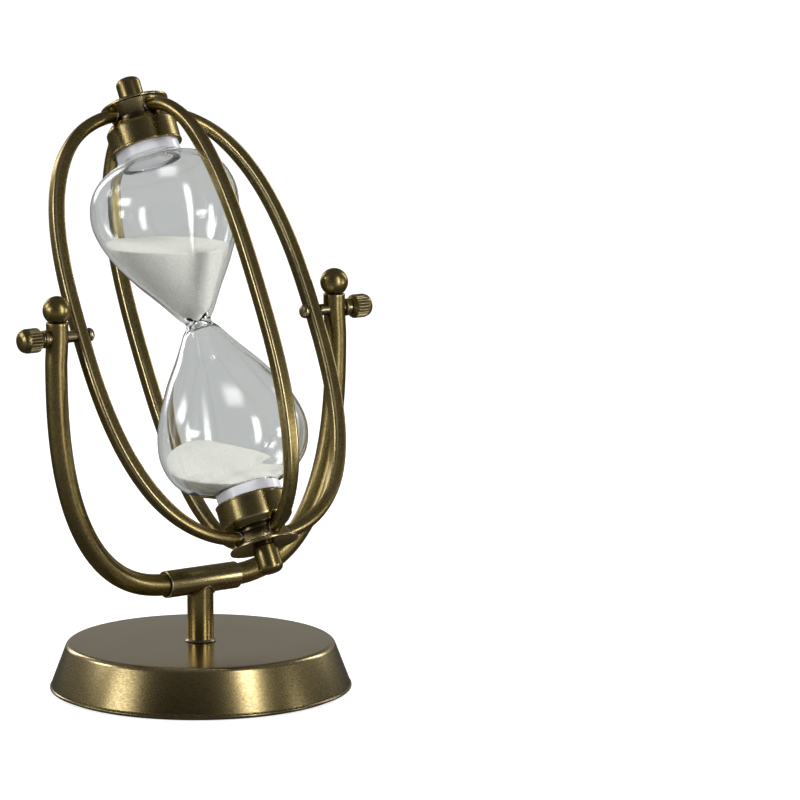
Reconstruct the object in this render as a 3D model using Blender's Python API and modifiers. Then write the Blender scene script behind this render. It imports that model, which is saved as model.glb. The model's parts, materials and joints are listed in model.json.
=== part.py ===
# Tilting hourglass: a bulb glass in a four-hoop cage, hung by two pivots in a U-shaped stand.
# Metres, +Z up. Origin at the middle of the foot, on the table. The pivots lie along X.
# The cage leans back (top towards +Y) by CAGE_LEAN in the pose that is modelled here.

import math

import bmesh
import bpy
from mathutils import Vector

# ---------------------------------------------------------------- fits and general clearances
FIT = 0.0003                # gap between two pieces that touch, press or screw together
LEAD = 0.0006               # gap at the blind end of a screwed or plugged hole
EDGE = 0.0005               # small broken edge on turned pieces

# ---------------------------------------------------------------- base
BASE_DIAMETER = 0.1350
BASE_HEIGHT = 0.0219        # table to the flat top plate
BASE_SIDE_INSET = 0.0078    # how far the conical side leans in
BASE_EDGE_ROUND = 0.0030
BASE_LIP = 0.0010           # rolled lip at the foot of the side
BASE_LIP_HEIGHT = 0.0036
BASE_SHEET = 0.0015
SHELL_LIFT = 0.0012         # the lip stays this far off the table, the pad carries the weight
PAD_THICKNESS = 0.0026
BASE_SCREW_DIAMETER = 0.0060
BASE_SCREW_HEAD = 0.0110
BASE_SCREW_HEAD_HEIGHT = 0.0036
BASE_SCREW_GRIP = 0.0110    # thread inside the stem
WASHER_DIAMETER = 0.0140
WASHER_THICKNESS = 0.0010
COUNTERBORE_DIAMETER = 0.0170

# ---------------------------------------------------------------- stand
STEM_DIAMETER = 0.0118
STEM_RING_WIDTH = 0.0008
STEM_RING_HEIGHT = 0.0007
SLEEVE_HEIGHT = 0.0495      # sleeve axis above the table
SLEEVE_LENGTH = 0.0382
SLEEVE_WALL = 0.0009
ROD_DIAMETER = 0.0098
POST_SPREAD = 0.1493        # between the two post axes
ARM_BULGE = 0.0007          # the arms swell out a little above the bend
ARM_FOOT = 0.0142           # straight length of each arm from the middle of the sleeve
ARM_BEND_POWER = 2.5        # fullness of the bend, 2 is an ellipse
ARM_BEND_BELOW_PIVOT = 0.0110
PIVOT_RISE = 0.1158         # pivot axis above the sleeve axis
POST_ABOVE_PIVOT = 0.0069
BALL_DIAMETER = 0.0127
BALL_SEAT = 0.0082          # flat under the ball
SPIGOT_DIAMETER = 0.0034
POST_WEB = 0.0010           # metal left between the pin bore and the spigot hole

# ---------------------------------------------------------------- pivots
PIN_DIAMETER = 0.0052
PIN_THREAD_DIAMETER = 0.0040
PIN_TIP_DIAMETER = 0.0030
COLLAR_DIAMETER = 0.0078
COLLAR_LENGTH = 0.0032
KNOB_DIAMETER = 0.0108
KNOB_LENGTH = 0.0109
KNOB_CHAMFER = 0.0016
KNOB_DOME = 0.0026
DOME_NUT_DIAMETER = 0.0060
DOME_NUT_LENGTH = 0.0032
HOOP_SIDE_GAP = 0.0042      # between a post and the wide hoop

# ---------------------------------------------------------------- cage
CAGE_LEAN = math.radians(28.0)
HUB_REACH = 0.1054          # pivot axis to the outer face of each hub
HUB_RIM_DIAMETER = 0.0306
HUB_RIM_THICKNESS = 0.0009
HUB_NECK_DIAMETER = 0.0222
HUB_FLARE_DIAMETER = 0.0284
HUB_DISH = 0.0014
HUB_BOSS_DIAMETER = 0.0128
FINIAL_DIAMETER = 0.0109
FINIAL_LENGTH = 0.0133
FINIAL_ROUND = 0.0016
CAP_DIAMETER = 0.0318
CAP_HEIGHT = 0.0120
CAP_WALL = 0.0013
CAP_FLOOR = 0.0014
STUD_DIAMETER = 0.0040
STUD_HEAD_DIAMETER = 0.0080
STUD_HEAD_HEIGHT = 0.0014
STUD_GRIP = 0.0085          # thread inside the finial
HOOP_BAR = 0.0060           # square bar across its flats
HOOP_CORNER = 0.0017
HOOP_POWER_WIDE = 2.6       # fullness of the two half-hoops in the pivot plane
HOOP_POWER_NARROW = 2.55
HOOP_BULB_GAP = 0.0130      # between the belly of the glass and the narrow hoops

# ---------------------------------------------------------------- glass, stoppers and sand
BULB_DIAMETER = 0.0668
WAIST_DIAMETER = 0.0112
ORIFICE_DIAMETER = 0.0022
GLASS_WALL = 0.0016
WAIST_SPAN = 0.0030         # length over which the thick waist thins to the wall
STOPPER_SHOW = 0.0046       # white stopper seen below each cap
STOPPER_WALL = 0.0006       # between the neck of the glass and the cap
STOPPER_FLOOR = 0.0016
SAND_LEVEL = 0.0325         # upper sand surface above the pivot axis
SAND_PEAK_DROP = 0.0530     # top of the lower heap below the pivot axis
SAND_REPOSE = math.radians(16.5)

# ---------------------------------------------------------------- sizes that follow
BASE_R = BASE_DIAMETER / 2
TOP_R = BASE_R - BASE_SIDE_INSET
ROD_R = ROD_DIAMETER / 2
SLEEVE_R = ROD_R + FIT + SLEEVE_WALL
PIN_R = PIN_DIAMETER / 2
PIVOT_Z = SLEEVE_HEIGHT + PIVOT_RISE
POST_X = POST_SPREAD / 2
POST_TOP = PIVOT_Z + POST_ABOVE_PIVOT
BALL_R = BALL_DIAMETER / 2
BALL_DROP = math.sqrt(BALL_R ** 2 - (BALL_SEAT / 2) ** 2)
SPIGOT_DEPTH = POST_ABOVE_PIVOT - PIN_R - FIT - POST_WEB
WIDE_HALF = POST_X - ROD_R - HOOP_SIDE_GAP - HOOP_BAR / 2
BULB_R = BULB_DIAMETER / 2
NARROW_HALF = BULB_R + HOOP_BULB_GAP + HOOP_BAR / 2
HOOP_HALF_HEIGHT = HUB_REACH - HUB_RIM_THICKNESS - FIT - HOOP_BAR / 2


def hoop_underside(half_width, power):
    """Height of a hoop's inner face where it passes over the edge of the cap."""
    u = (CAP_DIAMETER / 2 + FIT) / half_width
    centre = HOOP_HALF_HEIGHT * (1 - u ** power) ** (1 / power)
    grade = HOOP_HALF_HEIGHT / half_width * u ** (power - 1) * (1 - u ** power) ** (1 / power - 1)
    return centre - HOOP_BAR / 2 * math.sqrt(1 + grade ** 2)


HUB_FOOT = min(hoop_underside(WIDE_HALF, HOOP_POWER_WIDE),
               hoop_underside(NARROW_HALF, HOOP_POWER_NARROW))
HUB_HEIGHT = HUB_REACH - HUB_FOOT
CAP_END = HUB_FOOT - FIT
CAP_LIP = CAP_END - CAP_HEIGHT
CAP_BORE_R = CAP_DIAMETER / 2 - CAP_WALL
STOPPER_R = CAP_BORE_R - FIT
NECK_DIAMETER = 2 * (STOPPER_R - STOPPER_WALL - FIT)    # the glass fills the stopper
STOPPER_LIP = CAP_LIP - STOPPER_SHOW
STUD_HEAD_TOP = CAP_END - CAP_FLOOR - FIT
STOPPER_END = STUD_HEAD_TOP - STUD_HEAD_HEIGHT - FIT
GLASS_END = STOPPER_END - STOPPER_FLOOR - FIT
FINIAL_FOOT = HUB_REACH - HUB_DISH + FIT
PIN_HOOP_FACE = WIDE_HALF + HOOP_BAR / 2
PIN_SHOULDER = PIN_HOOP_FACE + FIT
COLLAR_START = POST_X + ROD_R + FIT
KNOB_START = COLLAR_START + COLLAR_LENGTH + FIT
PIN_TIP = WIDE_HALF - HOOP_BAR / 2 - DOME_NUT_LENGTH * 0.7
PIN_END = KNOB_START + KNOB_LENGTH * 0.7


# ---------------------------------------------------------------- scene and helpers
for old in list(bpy.data.objects):
    bpy.data.objects.remove(old, do_unlink=True)

parts = bpy.data.collections.new("hourglass")
cutters = bpy.data.collections.new("hourglass_cutters")
bpy.context.scene.collection.children.link(parts)
bpy.context.scene.collection.children.link(cutters)


def material(name, colour, roughness, metallic, transmission=0.0):
    mat = bpy.data.materials.new(name)
    mat.use_nodes = True
    bsdf = mat.node_tree.nodes["Principled BSDF"]
    bsdf.inputs["Base Color"].default_value = (*colour, 1.0)
    bsdf.inputs["Roughness"].default_value = roughness
    bsdf.inputs["Metallic"].default_value = metallic
    bsdf.inputs["Transmission Weight"].default_value = transmission
    mat.diffuse_color = (*colour, 1.0)
    return mat


BRASS = (0.235, 0.165, 0.060)
BRASS_DARK = (0.110, 0.078, 0.032)


def empty(name, location, rotation=(0.0, 0.0, 0.0), parent=None):
    obj = bpy.data.objects.new(name, None)
    obj.location = location
    obj.rotation_euler = rotation
    obj.parent = parent
    obj.empty_display_size = 0.01
    parts.objects.link(obj)
    return obj


def finish(obj, mat, parent, location, rotation, cutter):
    obj.location = location
    obj.rotation_euler = rotation
    obj.parent = parent
    if cutter:
        cutters.objects.link(obj)
        obj.hide_render = True
        obj.display_type = 'WIRE'
    else:
        parts.objects.link(obj)
        obj.data.materials.append(mat)
    return obj


def lathe(name, profile, steps, mat=None, parent=None, location=(0.0, 0.0, 0.0),
          rotation=(0.0, 0.0, 0.0), ring=False, cutter=False):
    """Turned piece about its own Z. The profile runs down the outer side, top to bottom."""
    mesh = bpy.data.meshes.new(name)
    bm = bmesh.new()
    verts = [bm.verts.new((r, 0.0, z)) for r, z in profile]
    for a, b in zip(verts, verts[1:]):
        bm.edges.new((a, b))
    if ring:
        bm.edges.new((verts[-1], verts[0]))
    bm.to_mesh(mesh)
    bm.free()
    obj = bpy.data.objects.new(name, mesh)
    screw = obj.modifiers.new("turn", 'SCREW')
    screw.axis = 'Z'
    screw.steps = steps
    screw.render_steps = steps
    screw.use_merge_vertices = True
    screw.merge_threshold = 0.000001
    screw.use_smooth_shade = True
    return finish(obj, mat, parent, location, rotation, cutter)


def cut(obj, cutter, operation='DIFFERENCE'):
    mod = obj.modifiers.new("cut_" + cutter.name, 'BOOLEAN')
    mod.operation = operation
    mod.solver = 'EXACT'
    mod.object = cutter
    return mod


def round_bar(radius, z_top, z_bottom, edge=0.0):
    """Outer side of a solid round bar, from the axis at the top to the axis at the bottom."""
    if edge == 0.0:
        return [(0.0, z_top), (radius, z_top), (radius, z_bottom), (0.0, z_bottom)]
    return [(0.0, z_top), (radius - edge, z_top), (radius, z_top - edge),
            (radius, z_bottom + edge), (radius - edge, z_bottom), (0.0, z_bottom)]


def tube(outer, inner, z_top, z_bottom, edge=0.0):
    """Closed section of a tube or washer."""
    if edge == 0.0:
        return [(outer, z_top), (outer, z_bottom), (inner, z_bottom), (inner, z_top)]
    return [(outer - edge, z_top), (outer, z_top - edge), (outer, z_bottom + edge),
            (outer - edge, z_bottom), (inner, z_bottom), (inner, z_top)]


def arc(cx, cz, radius, start, end, count):
    """Points on an arc in the turning plane, angles from +X, in degrees."""
    out = []
    for i in range(count + 1):
        t = math.radians(start + (end - start) * i / count)
        out.append((cx + radius * math.cos(t), cz + radius * math.sin(t)))
    return out


def swept(name, path, mat, parent=None, radius=0.0, section=None, sides=3):
    """A bent bar: a poly curve with a round or a rounded-square section, made a mesh."""
    curve = bpy.data.curves.new(name + "_path", 'CURVE')
    curve.dimensions = '3D'
    curve.resolution_u = 1
    curve.use_fill_caps = True
    spline = curve.splines.new('POLY')
    spline.points.add(len(path) - 1)
    for point, co in zip(spline.points, path):
        point.co = (*co, 1.0)
    if section:
        curve.bevel_mode = 'OBJECT'
        curve.bevel_object = section
    else:
        curve.bevel_depth = radius
        curve.bevel_resolution = sides
    guide = bpy.data.objects.new(name + "_path", curve)
    cutters.objects.link(guide)
    bpy.context.view_layer.update()
    graph = bpy.context.evaluated_depsgraph_get()
    mesh = bpy.data.meshes.new_from_object(guide.evaluated_get(graph))
    mesh.name = name
    mesh.materials.clear()
    bm = bmesh.new()
    bm.from_mesh(mesh)
    bmesh.ops.remove_doubles(bm, verts=bm.verts, dist=0.00001)
    bmesh.ops.recalc_face_normals(bm, faces=bm.faces)
    bm.to_mesh(mesh)
    bm.free()
    obj = bpy.data.objects.new(name, mesh)
    obj.matrix_world = guide.matrix_world.copy()
    bpy.data.objects.remove(guide, do_unlink=True)
    mesh.shade_smooth()
    mesh.set_sharp_from_angle(angle=math.radians(40))
    return finish(obj, mat, parent, (0.0, 0.0, 0.0), (0.0, 0.0, 0.0), False)


def bar_section():
    """Rounded-square outline of the hoop bar."""
    curve = bpy.data.curves.new("hoop_section", 'CURVE')
    curve.dimensions = '2D'
    spline = curve.splines.new('POLY')
    flat = HOOP_BAR / 2
    corner = flat - HOOP_CORNER
    points = []
    for k in range(4):
        turn = math.radians(90 * k)
        c, s = math.cos(turn), math.sin(turn)
        for x, y in arc(corner, corner, HOOP_CORNER, 0, 90, 2):
            points.append((x * c - y * s, x * s + y * c))
    spline.points.add(len(points) - 1)
    for point, (x, y) in zip(spline.points, points):
        point.co = (x, y, 0.0, 1.0)
    spline.use_cyclic_u = True
    obj = bpy.data.objects.new("hoop_section", curve)
    cutters.objects.link(obj)
    obj.hide_render = True
    obj.display_type = 'WIRE'
    return obj


# ---------------------------------------------------------------- the joints' frames
stand = empty("stand_frame", (0.0, 0.0, 0.0))
cage = empty("cage_frame", (0.0, 0.0, PIVOT_Z), (-CAGE_LEAN, 0.0, 0.0))
ENDS = (("upper", 1), ("lower", -1))
SIDES = (("left", -1), ("right", 1))


def end_rotation(sign):
    """Turns a piece drawn for the upper end of the cage to face out of the end asked for."""
    return (0.0, 0.0, 0.0) if sign > 0 else (math.pi, 0.0, 0.0)


def side_rotation(sign):
    """Lays a piece drawn along +Z along +X or -X."""
    return (0.0, sign * math.pi / 2, 0.0)


# ---------------------------------------------------------------- base
def make_base():
    """Spun shell with its flat top, cast weight inside it, pad, and the screw that holds all."""
    bore = BASE_SCREW_DIAMETER / 2 + FIT
    side = Vector((BASE_R - BASE_LIP - (TOP_R), -(BASE_HEIGHT - BASE_LIP_HEIGHT)))
    side_angle = math.degrees(math.atan2(side.y, side.x))
    round_at = TOP_R - BASE_EDGE_ROUND * 0.55
    outer = [(bore, BASE_HEIGHT)]
    outer += arc(round_at, BASE_HEIGHT - BASE_EDGE_ROUND, BASE_EDGE_ROUND, 90, 90 + side_angle, 3)
    lip_z = SHELL_LIFT + BASE_LIP
    outer.append((BASE_R - BASE_LIP, BASE_LIP_HEIGHT))
    outer += arc(BASE_R - BASE_LIP, lip_z, BASE_LIP, 35, -90, 4)
    inner_foot = BASE_R - BASE_LIP - BASE_SHEET
    inner_top = round_at - BASE_SHEET * 0.4
    roof = BASE_HEIGHT - BASE_SHEET
    inner = [(inner_foot, SHELL_LIFT), (inner_foot, BASE_LIP_HEIGHT), (inner_top, roof), (bore, roof)]
    shell_mat = material("base_shell", BRASS, 0.38, 1.0)
    lathe("base_shell", outer + inner, 40, shell_mat, stand, ring=True)

    weight_foot = PAD_THICKNESS + FIT
    slope = (inner_foot - inner_top) / (roof - BASE_LIP_HEIGHT)
    weight_top = roof - FIT
    gap = 2 * FIT
    recess_top = weight_foot + BASE_SCREW_HEAD_HEIGHT + WASHER_THICKNESS + 3 * FIT
    r_top = inner_top - gap
    r_knee = inner_foot - gap
    weight = [(r_top, weight_top), (r_top + slope * (weight_top - BASE_LIP_HEIGHT), BASE_LIP_HEIGHT),
              (r_knee, BASE_LIP_HEIGHT - FIT), (r_knee, weight_foot),
              (COUNTERBORE_DIAMETER / 2, weight_foot), (COUNTERBORE_DIAMETER / 2, recess_top),
              (bore, recess_top), (bore, weight_top)]
    iron = material("base_weight", (0.09, 0.09, 0.09), 0.75, 0.6)
    lathe("base_weight", weight, 32, iron, stand, ring=True)

    pad = round_bar(inner_foot - FIT, PAD_THICKNESS, 0.0, EDGE)
    lathe("base_pad", pad, 32, material("base_pad", (0.02, 0.02, 0.02), 0.9, 0.0), stand)

    steel = material("base_screw", (0.42, 0.42, 0.40), 0.35, 1.0)
    head_foot = weight_foot + FIT
    head_top = head_foot + BASE_SCREW_HEAD_HEIGHT
    thread_top = BASE_HEIGHT + FIT + BASE_SCREW_GRIP
    screw = [(0.0, thread_top), (BASE_SCREW_DIAMETER / 2, thread_top),
             (BASE_SCREW_DIAMETER / 2, head_top), (BASE_SCREW_HEAD / 2, head_top),
             (BASE_SCREW_HEAD / 2, head_foot), (0.0, head_foot)]
    lathe("base_screw", screw, 16, steel, stand)
    washer = tube(WASHER_DIAMETER / 2, bore, recess_top - FIT, recess_top - FIT - WASHER_THICKNESS)
    lathe("base_washer", washer, 20, material("base_washer", (0.45, 0.44, 0.42), 0.4, 1.0), stand,
          ring=True)


def make_stem():
    """Round post between the base and the sleeve, its top coped to the sleeve it is brazed to."""
    foot = BASE_HEIGHT + FIT
    hole = BASE_SCREW_DIAMETER / 2 + FIT
    hole_top = foot + BASE_SCREW_GRIP + LEAD
    r = STEM_DIAMETER / 2
    profile = [(0.0, SLEEVE_HEIGHT), (r, SLEEVE_HEIGHT), (r, foot), (hole, foot),
               (hole, hole_top), (0.0, hole_top)]
    stem = lathe("stem", profile, 24, material("stem", BRASS, 0.3, 1.0), stand)
    cope = lathe("stem_cope", round_bar(SLEEVE_R + FIT, r * 1.5, -r * 1.5), 32, parent=stand,
                 location=(0.0, 0.0, SLEEVE_HEIGHT), rotation=side_rotation(1), cutter=True)
    cut(stem, cope)
    ring_r = r + FIT
    ring = tube(ring_r + STEM_RING_WIDTH, ring_r, foot + STEM_RING_HEIGHT, foot)
    lathe("stem_ring", ring, 24, material("stem_ring", (0.45, 0.40, 0.30), 0.3, 1.0), stand,
          ring=True)


def make_sleeve():
    half = SLEEVE_LENGTH / 2
    section = tube(SLEEVE_R, ROD_R + FIT, half, -half, EDGE)
    lathe("tee_sleeve", section, 28, material("tee_sleeve", BRASS, 0.3, 1.0), stand,
          location=(0.0, 0.0, SLEEVE_HEIGHT), rotation=side_rotation(1), ring=True)


# ---------------------------------------------------------------- arms and ball finials
def arm_path(sign):
    """Straight in the sleeve, a full bend, then a post that leans in very slightly."""
    bend_top = PIVOT_Z - ARM_BEND_BELOW_PIVOT
    reach = POST_X + ARM_BULGE - ARM_FOOT
    rise = bend_top - SLEEVE_HEIGHT
    path = [(sign * FIT, 0.0, SLEEVE_HEIGHT), (sign * ARM_FOOT * 0.6, 0.0, SLEEVE_HEIGHT)]
    count = 17
    for i in range(count + 1):
        t = math.radians(90 * i / count)
        s, c = math.sin(t), math.cos(t)
        r = ((s / reach) ** ARM_BEND_POWER + (c / rise) ** ARM_BEND_POWER) ** (-1 / ARM_BEND_POWER)
        path.append((sign * (ARM_FOOT + r * s), 0.0, bend_top - r * c))
    path.append((sign * POST_X, 0.0, PIVOT_Z))
    path.append((sign * POST_X, 0.0, POST_TOP))
    return path


def make_arms():
    bore = lathe("pivot_bore", round_bar(PIN_R + FIT, POST_X * 1.3, -POST_X * 1.3), 16,
                 parent=stand, location=(0.0, 0.0, PIVOT_Z), rotation=side_rotation(1), cutter=True)
    for name, sign in SIDES:
        mat = material(name + "_arm", BRASS, 0.3, 1.0)
        arm = swept(name + "_arm", arm_path(sign), mat, stand, radius=ROD_R, sides=4)
        cut(arm, bore)
        hole = lathe(name + "_spigot_hole",
                     round_bar(SPIGOT_DIAMETER / 2 + FIT, SPIGOT_DEPTH, -SPIGOT_DEPTH), 12,
                     parent=stand, location=(sign * POST_X, 0.0, POST_TOP), cutter=True)
        cut(arm, hole)


def make_balls():
    half_seat = math.degrees(math.asin(BALL_SEAT / BALL_DIAMETER))
    for name, sign in SIDES:
        profile = arc(0.0, 0.0, BALL_R, 90, -90 + half_seat, 9)
        profile[0] = (0.0, BALL_R)
        profile.append((SPIGOT_DIAMETER / 2, -BALL_DROP))
        profile.append((SPIGOT_DIAMETER / 2, -BALL_DROP - SPIGOT_DEPTH + LEAD))
        profile.append((0.0, -BALL_DROP - SPIGOT_DEPTH + LEAD))
        lathe(name + "_ball_finial", profile, 20, material(name + "_ball_finial", BRASS, 0.25, 1.0),
              stand, location=(sign * POST_X, 0.0, POST_TOP + FIT + BALL_DROP))


# ---------------------------------------------------------------- pivots, which ride on the cage
def make_pivots():
    for name, sign in SIDES:
        turn = side_rotation(sign)
        pin = [(0.0, PIN_END), (PIN_THREAD_DIAMETER / 2, PIN_END),
               (PIN_THREAD_DIAMETER / 2, COLLAR_START), (PIN_R, COLLAR_START),
               (PIN_R, PIN_SHOULDER), (PIN_TIP_DIAMETER / 2, PIN_SHOULDER),
               (PIN_TIP_DIAMETER / 2, PIN_TIP), (0.0, PIN_TIP)]
        lathe(name + "_pivot_pin", pin, 16, material(name + "_pivot_pin", BRASS, 0.25, 1.0), cage,
              rotation=turn)

        nut_r = DOME_NUT_DIAMETER / 2
        nut_foot = WIDE_HALF - HOOP_BAR / 2 - FIT
        nut_bore = PIN_TIP_DIAMETER / 2 + FIT
        dome = nut_foot - DOME_NUT_LENGTH
        nut = [(0.0, PIN_TIP - LEAD), (nut_bore, PIN_TIP - LEAD), (nut_bore, nut_foot),
               (nut_r, nut_foot)]
        for x, z in arc(0.0, dome + nut_r * 0.8, nut_r, 0, -90, 4):
            nut.append((x, dome + (z - dome - nut_r * 0.8) * 0.8 + nut_r * 0.8))
        nut[-1] = (0.0, dome)
        lathe(name + "_dome_nut", nut, 16, material(name + "_dome_nut", BRASS, 0.25, 1.0), cage,
              rotation=turn)

        collar = tube(COLLAR_DIAMETER / 2, PIN_THREAD_DIAMETER / 2 + FIT,
                      COLLAR_START + COLLAR_LENGTH, COLLAR_START, EDGE)
        lathe(name + "_collar", collar, 20, material(name + "_collar", BRASS_DARK, 0.3, 1.0), cage,
              rotation=turn, ring=True)

        knob_r = KNOB_DIAMETER / 2
        knob_end = KNOB_START + KNOB_LENGTH
        knob_bore = PIN_THREAD_DIAMETER / 2 + FIT
        knob = []
        for x, z in arc(0.0, 0.0, knob_r, 90, 0, 4):
            knob.append((x, knob_end - KNOB_DOME + z * KNOB_DOME / knob_r))
        knob[0] = (0.0, knob_end)
        knob += [(knob_r, KNOB_START + KNOB_CHAMFER), (knob_r - KNOB_CHAMFER, KNOB_START),
                 (knob_bore, KNOB_START), (knob_bore, PIN_END + LEAD), (0.0, PIN_END + LEAD)]
        lathe(name + "_thumb_knob", knob, 24, material(name + "_thumb_knob", BRASS, 0.3, 1.0), cage,
              rotation=turn)


# ---------------------------------------------------------------- cage ends
def hub_outline(grow):
    """Outer side of a hub from the top face edge to the foot, grown outwards by a clearance."""
    rim = HUB_RIM_DIAMETER / 2 + grow
    under = HUB_REACH - HUB_RIM_THICKNESS - grow
    flare = HUB_FLARE_DIAMETER / 2 + grow
    neck = HUB_NECK_DIAMETER / 2 + grow
    return [(rim, HUB_REACH + grow), (rim, under), (flare, under),
            (neck, HUB_FOOT + HUB_HEIGHT * 0.25 - grow), (neck, HUB_FOOT - grow)]


def make_ends():
    stud_bore = STUD_DIAMETER / 2 + FIT
    cap_r = CAP_DIAMETER / 2
    fin_r = FINIAL_DIAMETER / 2
    for name, sign in ENDS:
        turn = end_rotation(sign)
        hub = hub_outline(0.0)
        boss_r = HUB_BOSS_DIAMETER / 2
        inner = [(stud_bore, HUB_FOOT), (stud_bore, HUB_REACH - HUB_DISH),
                 (boss_r, HUB_REACH - HUB_DISH), (hub[0][0] - 2 * EDGE, HUB_REACH)]
        lathe(name + "_hub", hub + inner, 28, material(name + "_hub", BRASS, 0.3, 1.0), cage,
              rotation=turn, ring=True)

        cap = [(cap_r - EDGE, CAP_END), (cap_r, CAP_END - EDGE), (cap_r, CAP_LIP),
               (CAP_BORE_R, CAP_LIP), (CAP_BORE_R, CAP_END - CAP_FLOOR),
               (stud_bore, CAP_END - CAP_FLOOR), (stud_bore, CAP_END)]
        lathe(name + "_cap", cap, 28, material(name + "_cap", BRASS, 0.35, 1.0), cage,
              rotation=turn, ring=True)

        tip = FINIAL_FOOT + FINIAL_LENGTH
        stud_end = FINIAL_FOOT + STUD_GRIP
        finial = [(0.0, tip)]
        finial += arc(fin_r - FINIAL_ROUND, tip - FINIAL_ROUND, FINIAL_ROUND, 90, 0, 3)
        finial += [(fin_r, FINIAL_FOOT), (stud_bore, FINIAL_FOOT), (stud_bore, stud_end + LEAD),
                   (0.0, stud_end + LEAD)]
        lathe(name + "_finial", finial, 20, material(name + "_finial", BRASS, 0.3, 1.0), cage,
              rotation=turn)

        head_r = STUD_HEAD_DIAMETER / 2
        stud = [(0.0, stud_end), (STUD_DIAMETER / 2, stud_end), (STUD_DIAMETER / 2, STUD_HEAD_TOP),
                (head_r, STUD_HEAD_TOP), (head_r, STUD_HEAD_TOP - STUD_HEAD_HEIGHT),
                (0.0, STUD_HEAD_TOP - STUD_HEAD_HEIGHT)]
        lathe(name + "_stud", stud, 16, material(name + "_stud", (0.4, 0.4, 0.38), 0.35, 1.0), cage,
              rotation=turn)

        stopper_bore = NECK_DIAMETER / 2 + FIT
        floor = STOPPER_END - STOPPER_FLOOR
        stopper = [(0.0, STOPPER_END), (STOPPER_R, STOPPER_END), (STOPPER_R, STOPPER_LIP),
                   (stopper_bore, STOPPER_LIP), (stopper_bore, floor), (0.0, floor)]
        white = material(name + "_stopper", (0.85, 0.85, 0.84), 0.25, 0.0)
        lathe(name + "_stopper", stopper, 28, white, cage, rotation=turn)


# ---------------------------------------------------------------- hoops
def hoop_path(half_width, power, sign, across):
    """Half of a full-cornered oval from hub to hub; across picks the X or the Y side."""
    path = []
    count = 32
    last = math.degrees(math.atan2(HOOP_HALF_HEIGHT, HUB_NECK_DIAMETER / 2 - 0.002))
    for i in range(count + 1):
        t = math.radians(-last + 2 * last * i / count)
        c, s = math.cos(t), math.sin(t)
        r = (abs(c / half_width) ** power + abs(s / HOOP_HALF_HEIGHT) ** power) ** (-1 / power)
        side = sign * r * c
        path.append((side, 0.0, r * s) if across == 'X' else (0.0, side, r * s))
    return path


def make_hoops():
    section = bar_section()
    seats = []
    for name, sign in ENDS:
        outline = [(0.0, HUB_REACH + FIT)] + hub_outline(FIT) + [(0.0, HUB_FOOT - FIT)]
        seats.append(lathe(name + "_hub_seat", outline, 28, parent=cage,
                           rotation=end_rotation(sign), cutter=True))
    tip = PIN_TIP_DIAMETER / 2 + FIT
    hole = lathe("hoop_pin_hole", round_bar(tip, WIDE_HALF * 1.3, -WIDE_HALF * 1.3), 12,
                 parent=cage, rotation=side_rotation(1), cutter=True)
    rows = (("hoop_left", WIDE_HALF, HOOP_POWER_WIDE, -1, 'X'),
            ("hoop_right", WIDE_HALF, HOOP_POWER_WIDE, 1, 'X'),
            ("hoop_front", NARROW_HALF, HOOP_POWER_NARROW, -1, 'Y'),
            ("hoop_back", NARROW_HALF, HOOP_POWER_NARROW, 1, 'Y'))
    for name, half, power, sign, across in rows:
        path = hoop_path(half, power, sign, across)
        hoop = swept(name, path, material(name, BRASS, 0.3, 1.0), cage, section=section)
        for seat in seats:
            cut(hoop, seat)
        if across == 'X':
            cut(hoop, hole)


# ---------------------------------------------------------------- glass and sand
def glass_outer(d):
    """Outside radius of a bulb at distance d from the waist: cone, belly, shoulder, neck."""
    waist = WAIST_DIAMETER / 2
    neck = NECK_DIAMETER / 2
    shoulder = STOPPER_LIP - 0.0008
    knots = [(0.0, waist), (0.055, waist + 0.085 * BULB_R), (0.17, 0.42 * BULB_R),
             (0.33, 0.67 * BULB_R), (0.50, 0.88 * BULB_R), (0.63, 0.98 * BULB_R),
             (0.74, BULB_R), (0.86, 0.915 * BULB_R), (0.94, 0.74 * BULB_R),
             (0.985, 0.51 * BULB_R), (1.0, neck)]
    u = d / shoulder
    if u >= 1.0:
        return neck
    for k in range(len(knots) - 1):
        if u <= knots[k + 1][0]:
            break
    u0, r0 = knots[k]
    u1, r1 = knots[k + 1]

    def slope(j):
        if j == 0 or j == len(knots) - 1:
            return 0.0
        return (knots[j + 1][1] - knots[j - 1][1]) / (knots[j + 1][0] - knots[j - 1][0])

    h = u1 - u0
    t = (u - u0) / h
    m0, m1 = slope(k) * h, slope(k + 1) * h
    if k == len(knots) - 2:
        m1 = m0
    return (r0 * (2 * t ** 3 - 3 * t ** 2 + 1) + m0 * (t ** 3 - 2 * t ** 2 + t)
            + r1 * (3 * t ** 2 - 2 * t ** 3) + m1 * (t ** 3 - t ** 2))


def glass_inner(d):
    """Inside radius: the wall is thick at the waist and even from there on."""
    step = 0.0002
    grade = (glass_outer(d + step) - glass_outer(max(d - step, 0.0))) / (2 * step)
    lean = min(math.sqrt(1 + grade ** 2), 1.6)
    solid = WAIST_DIAMETER / 2 - ORIFICE_DIAMETER / 2
    wall = GLASS_WALL * lean
    wall += max(solid - wall, 0.0) * math.exp(-(d / WAIST_SPAN) ** 2)
    return max(glass_outer(d) - wall, ORIFICE_DIAMETER / 2)


def stations():
    """Heights along one bulb, closer together at the waist and at the shoulder."""
    shoulder = STOPPER_LIP - 0.0008
    shares = (0.0, 0.03, 0.07, 0.14, 0.26, 0.40, 0.54, 0.66, 0.75, 0.84, 0.91, 0.96, 0.985, 1.0)
    return [shoulder * s for s in shares]


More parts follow.
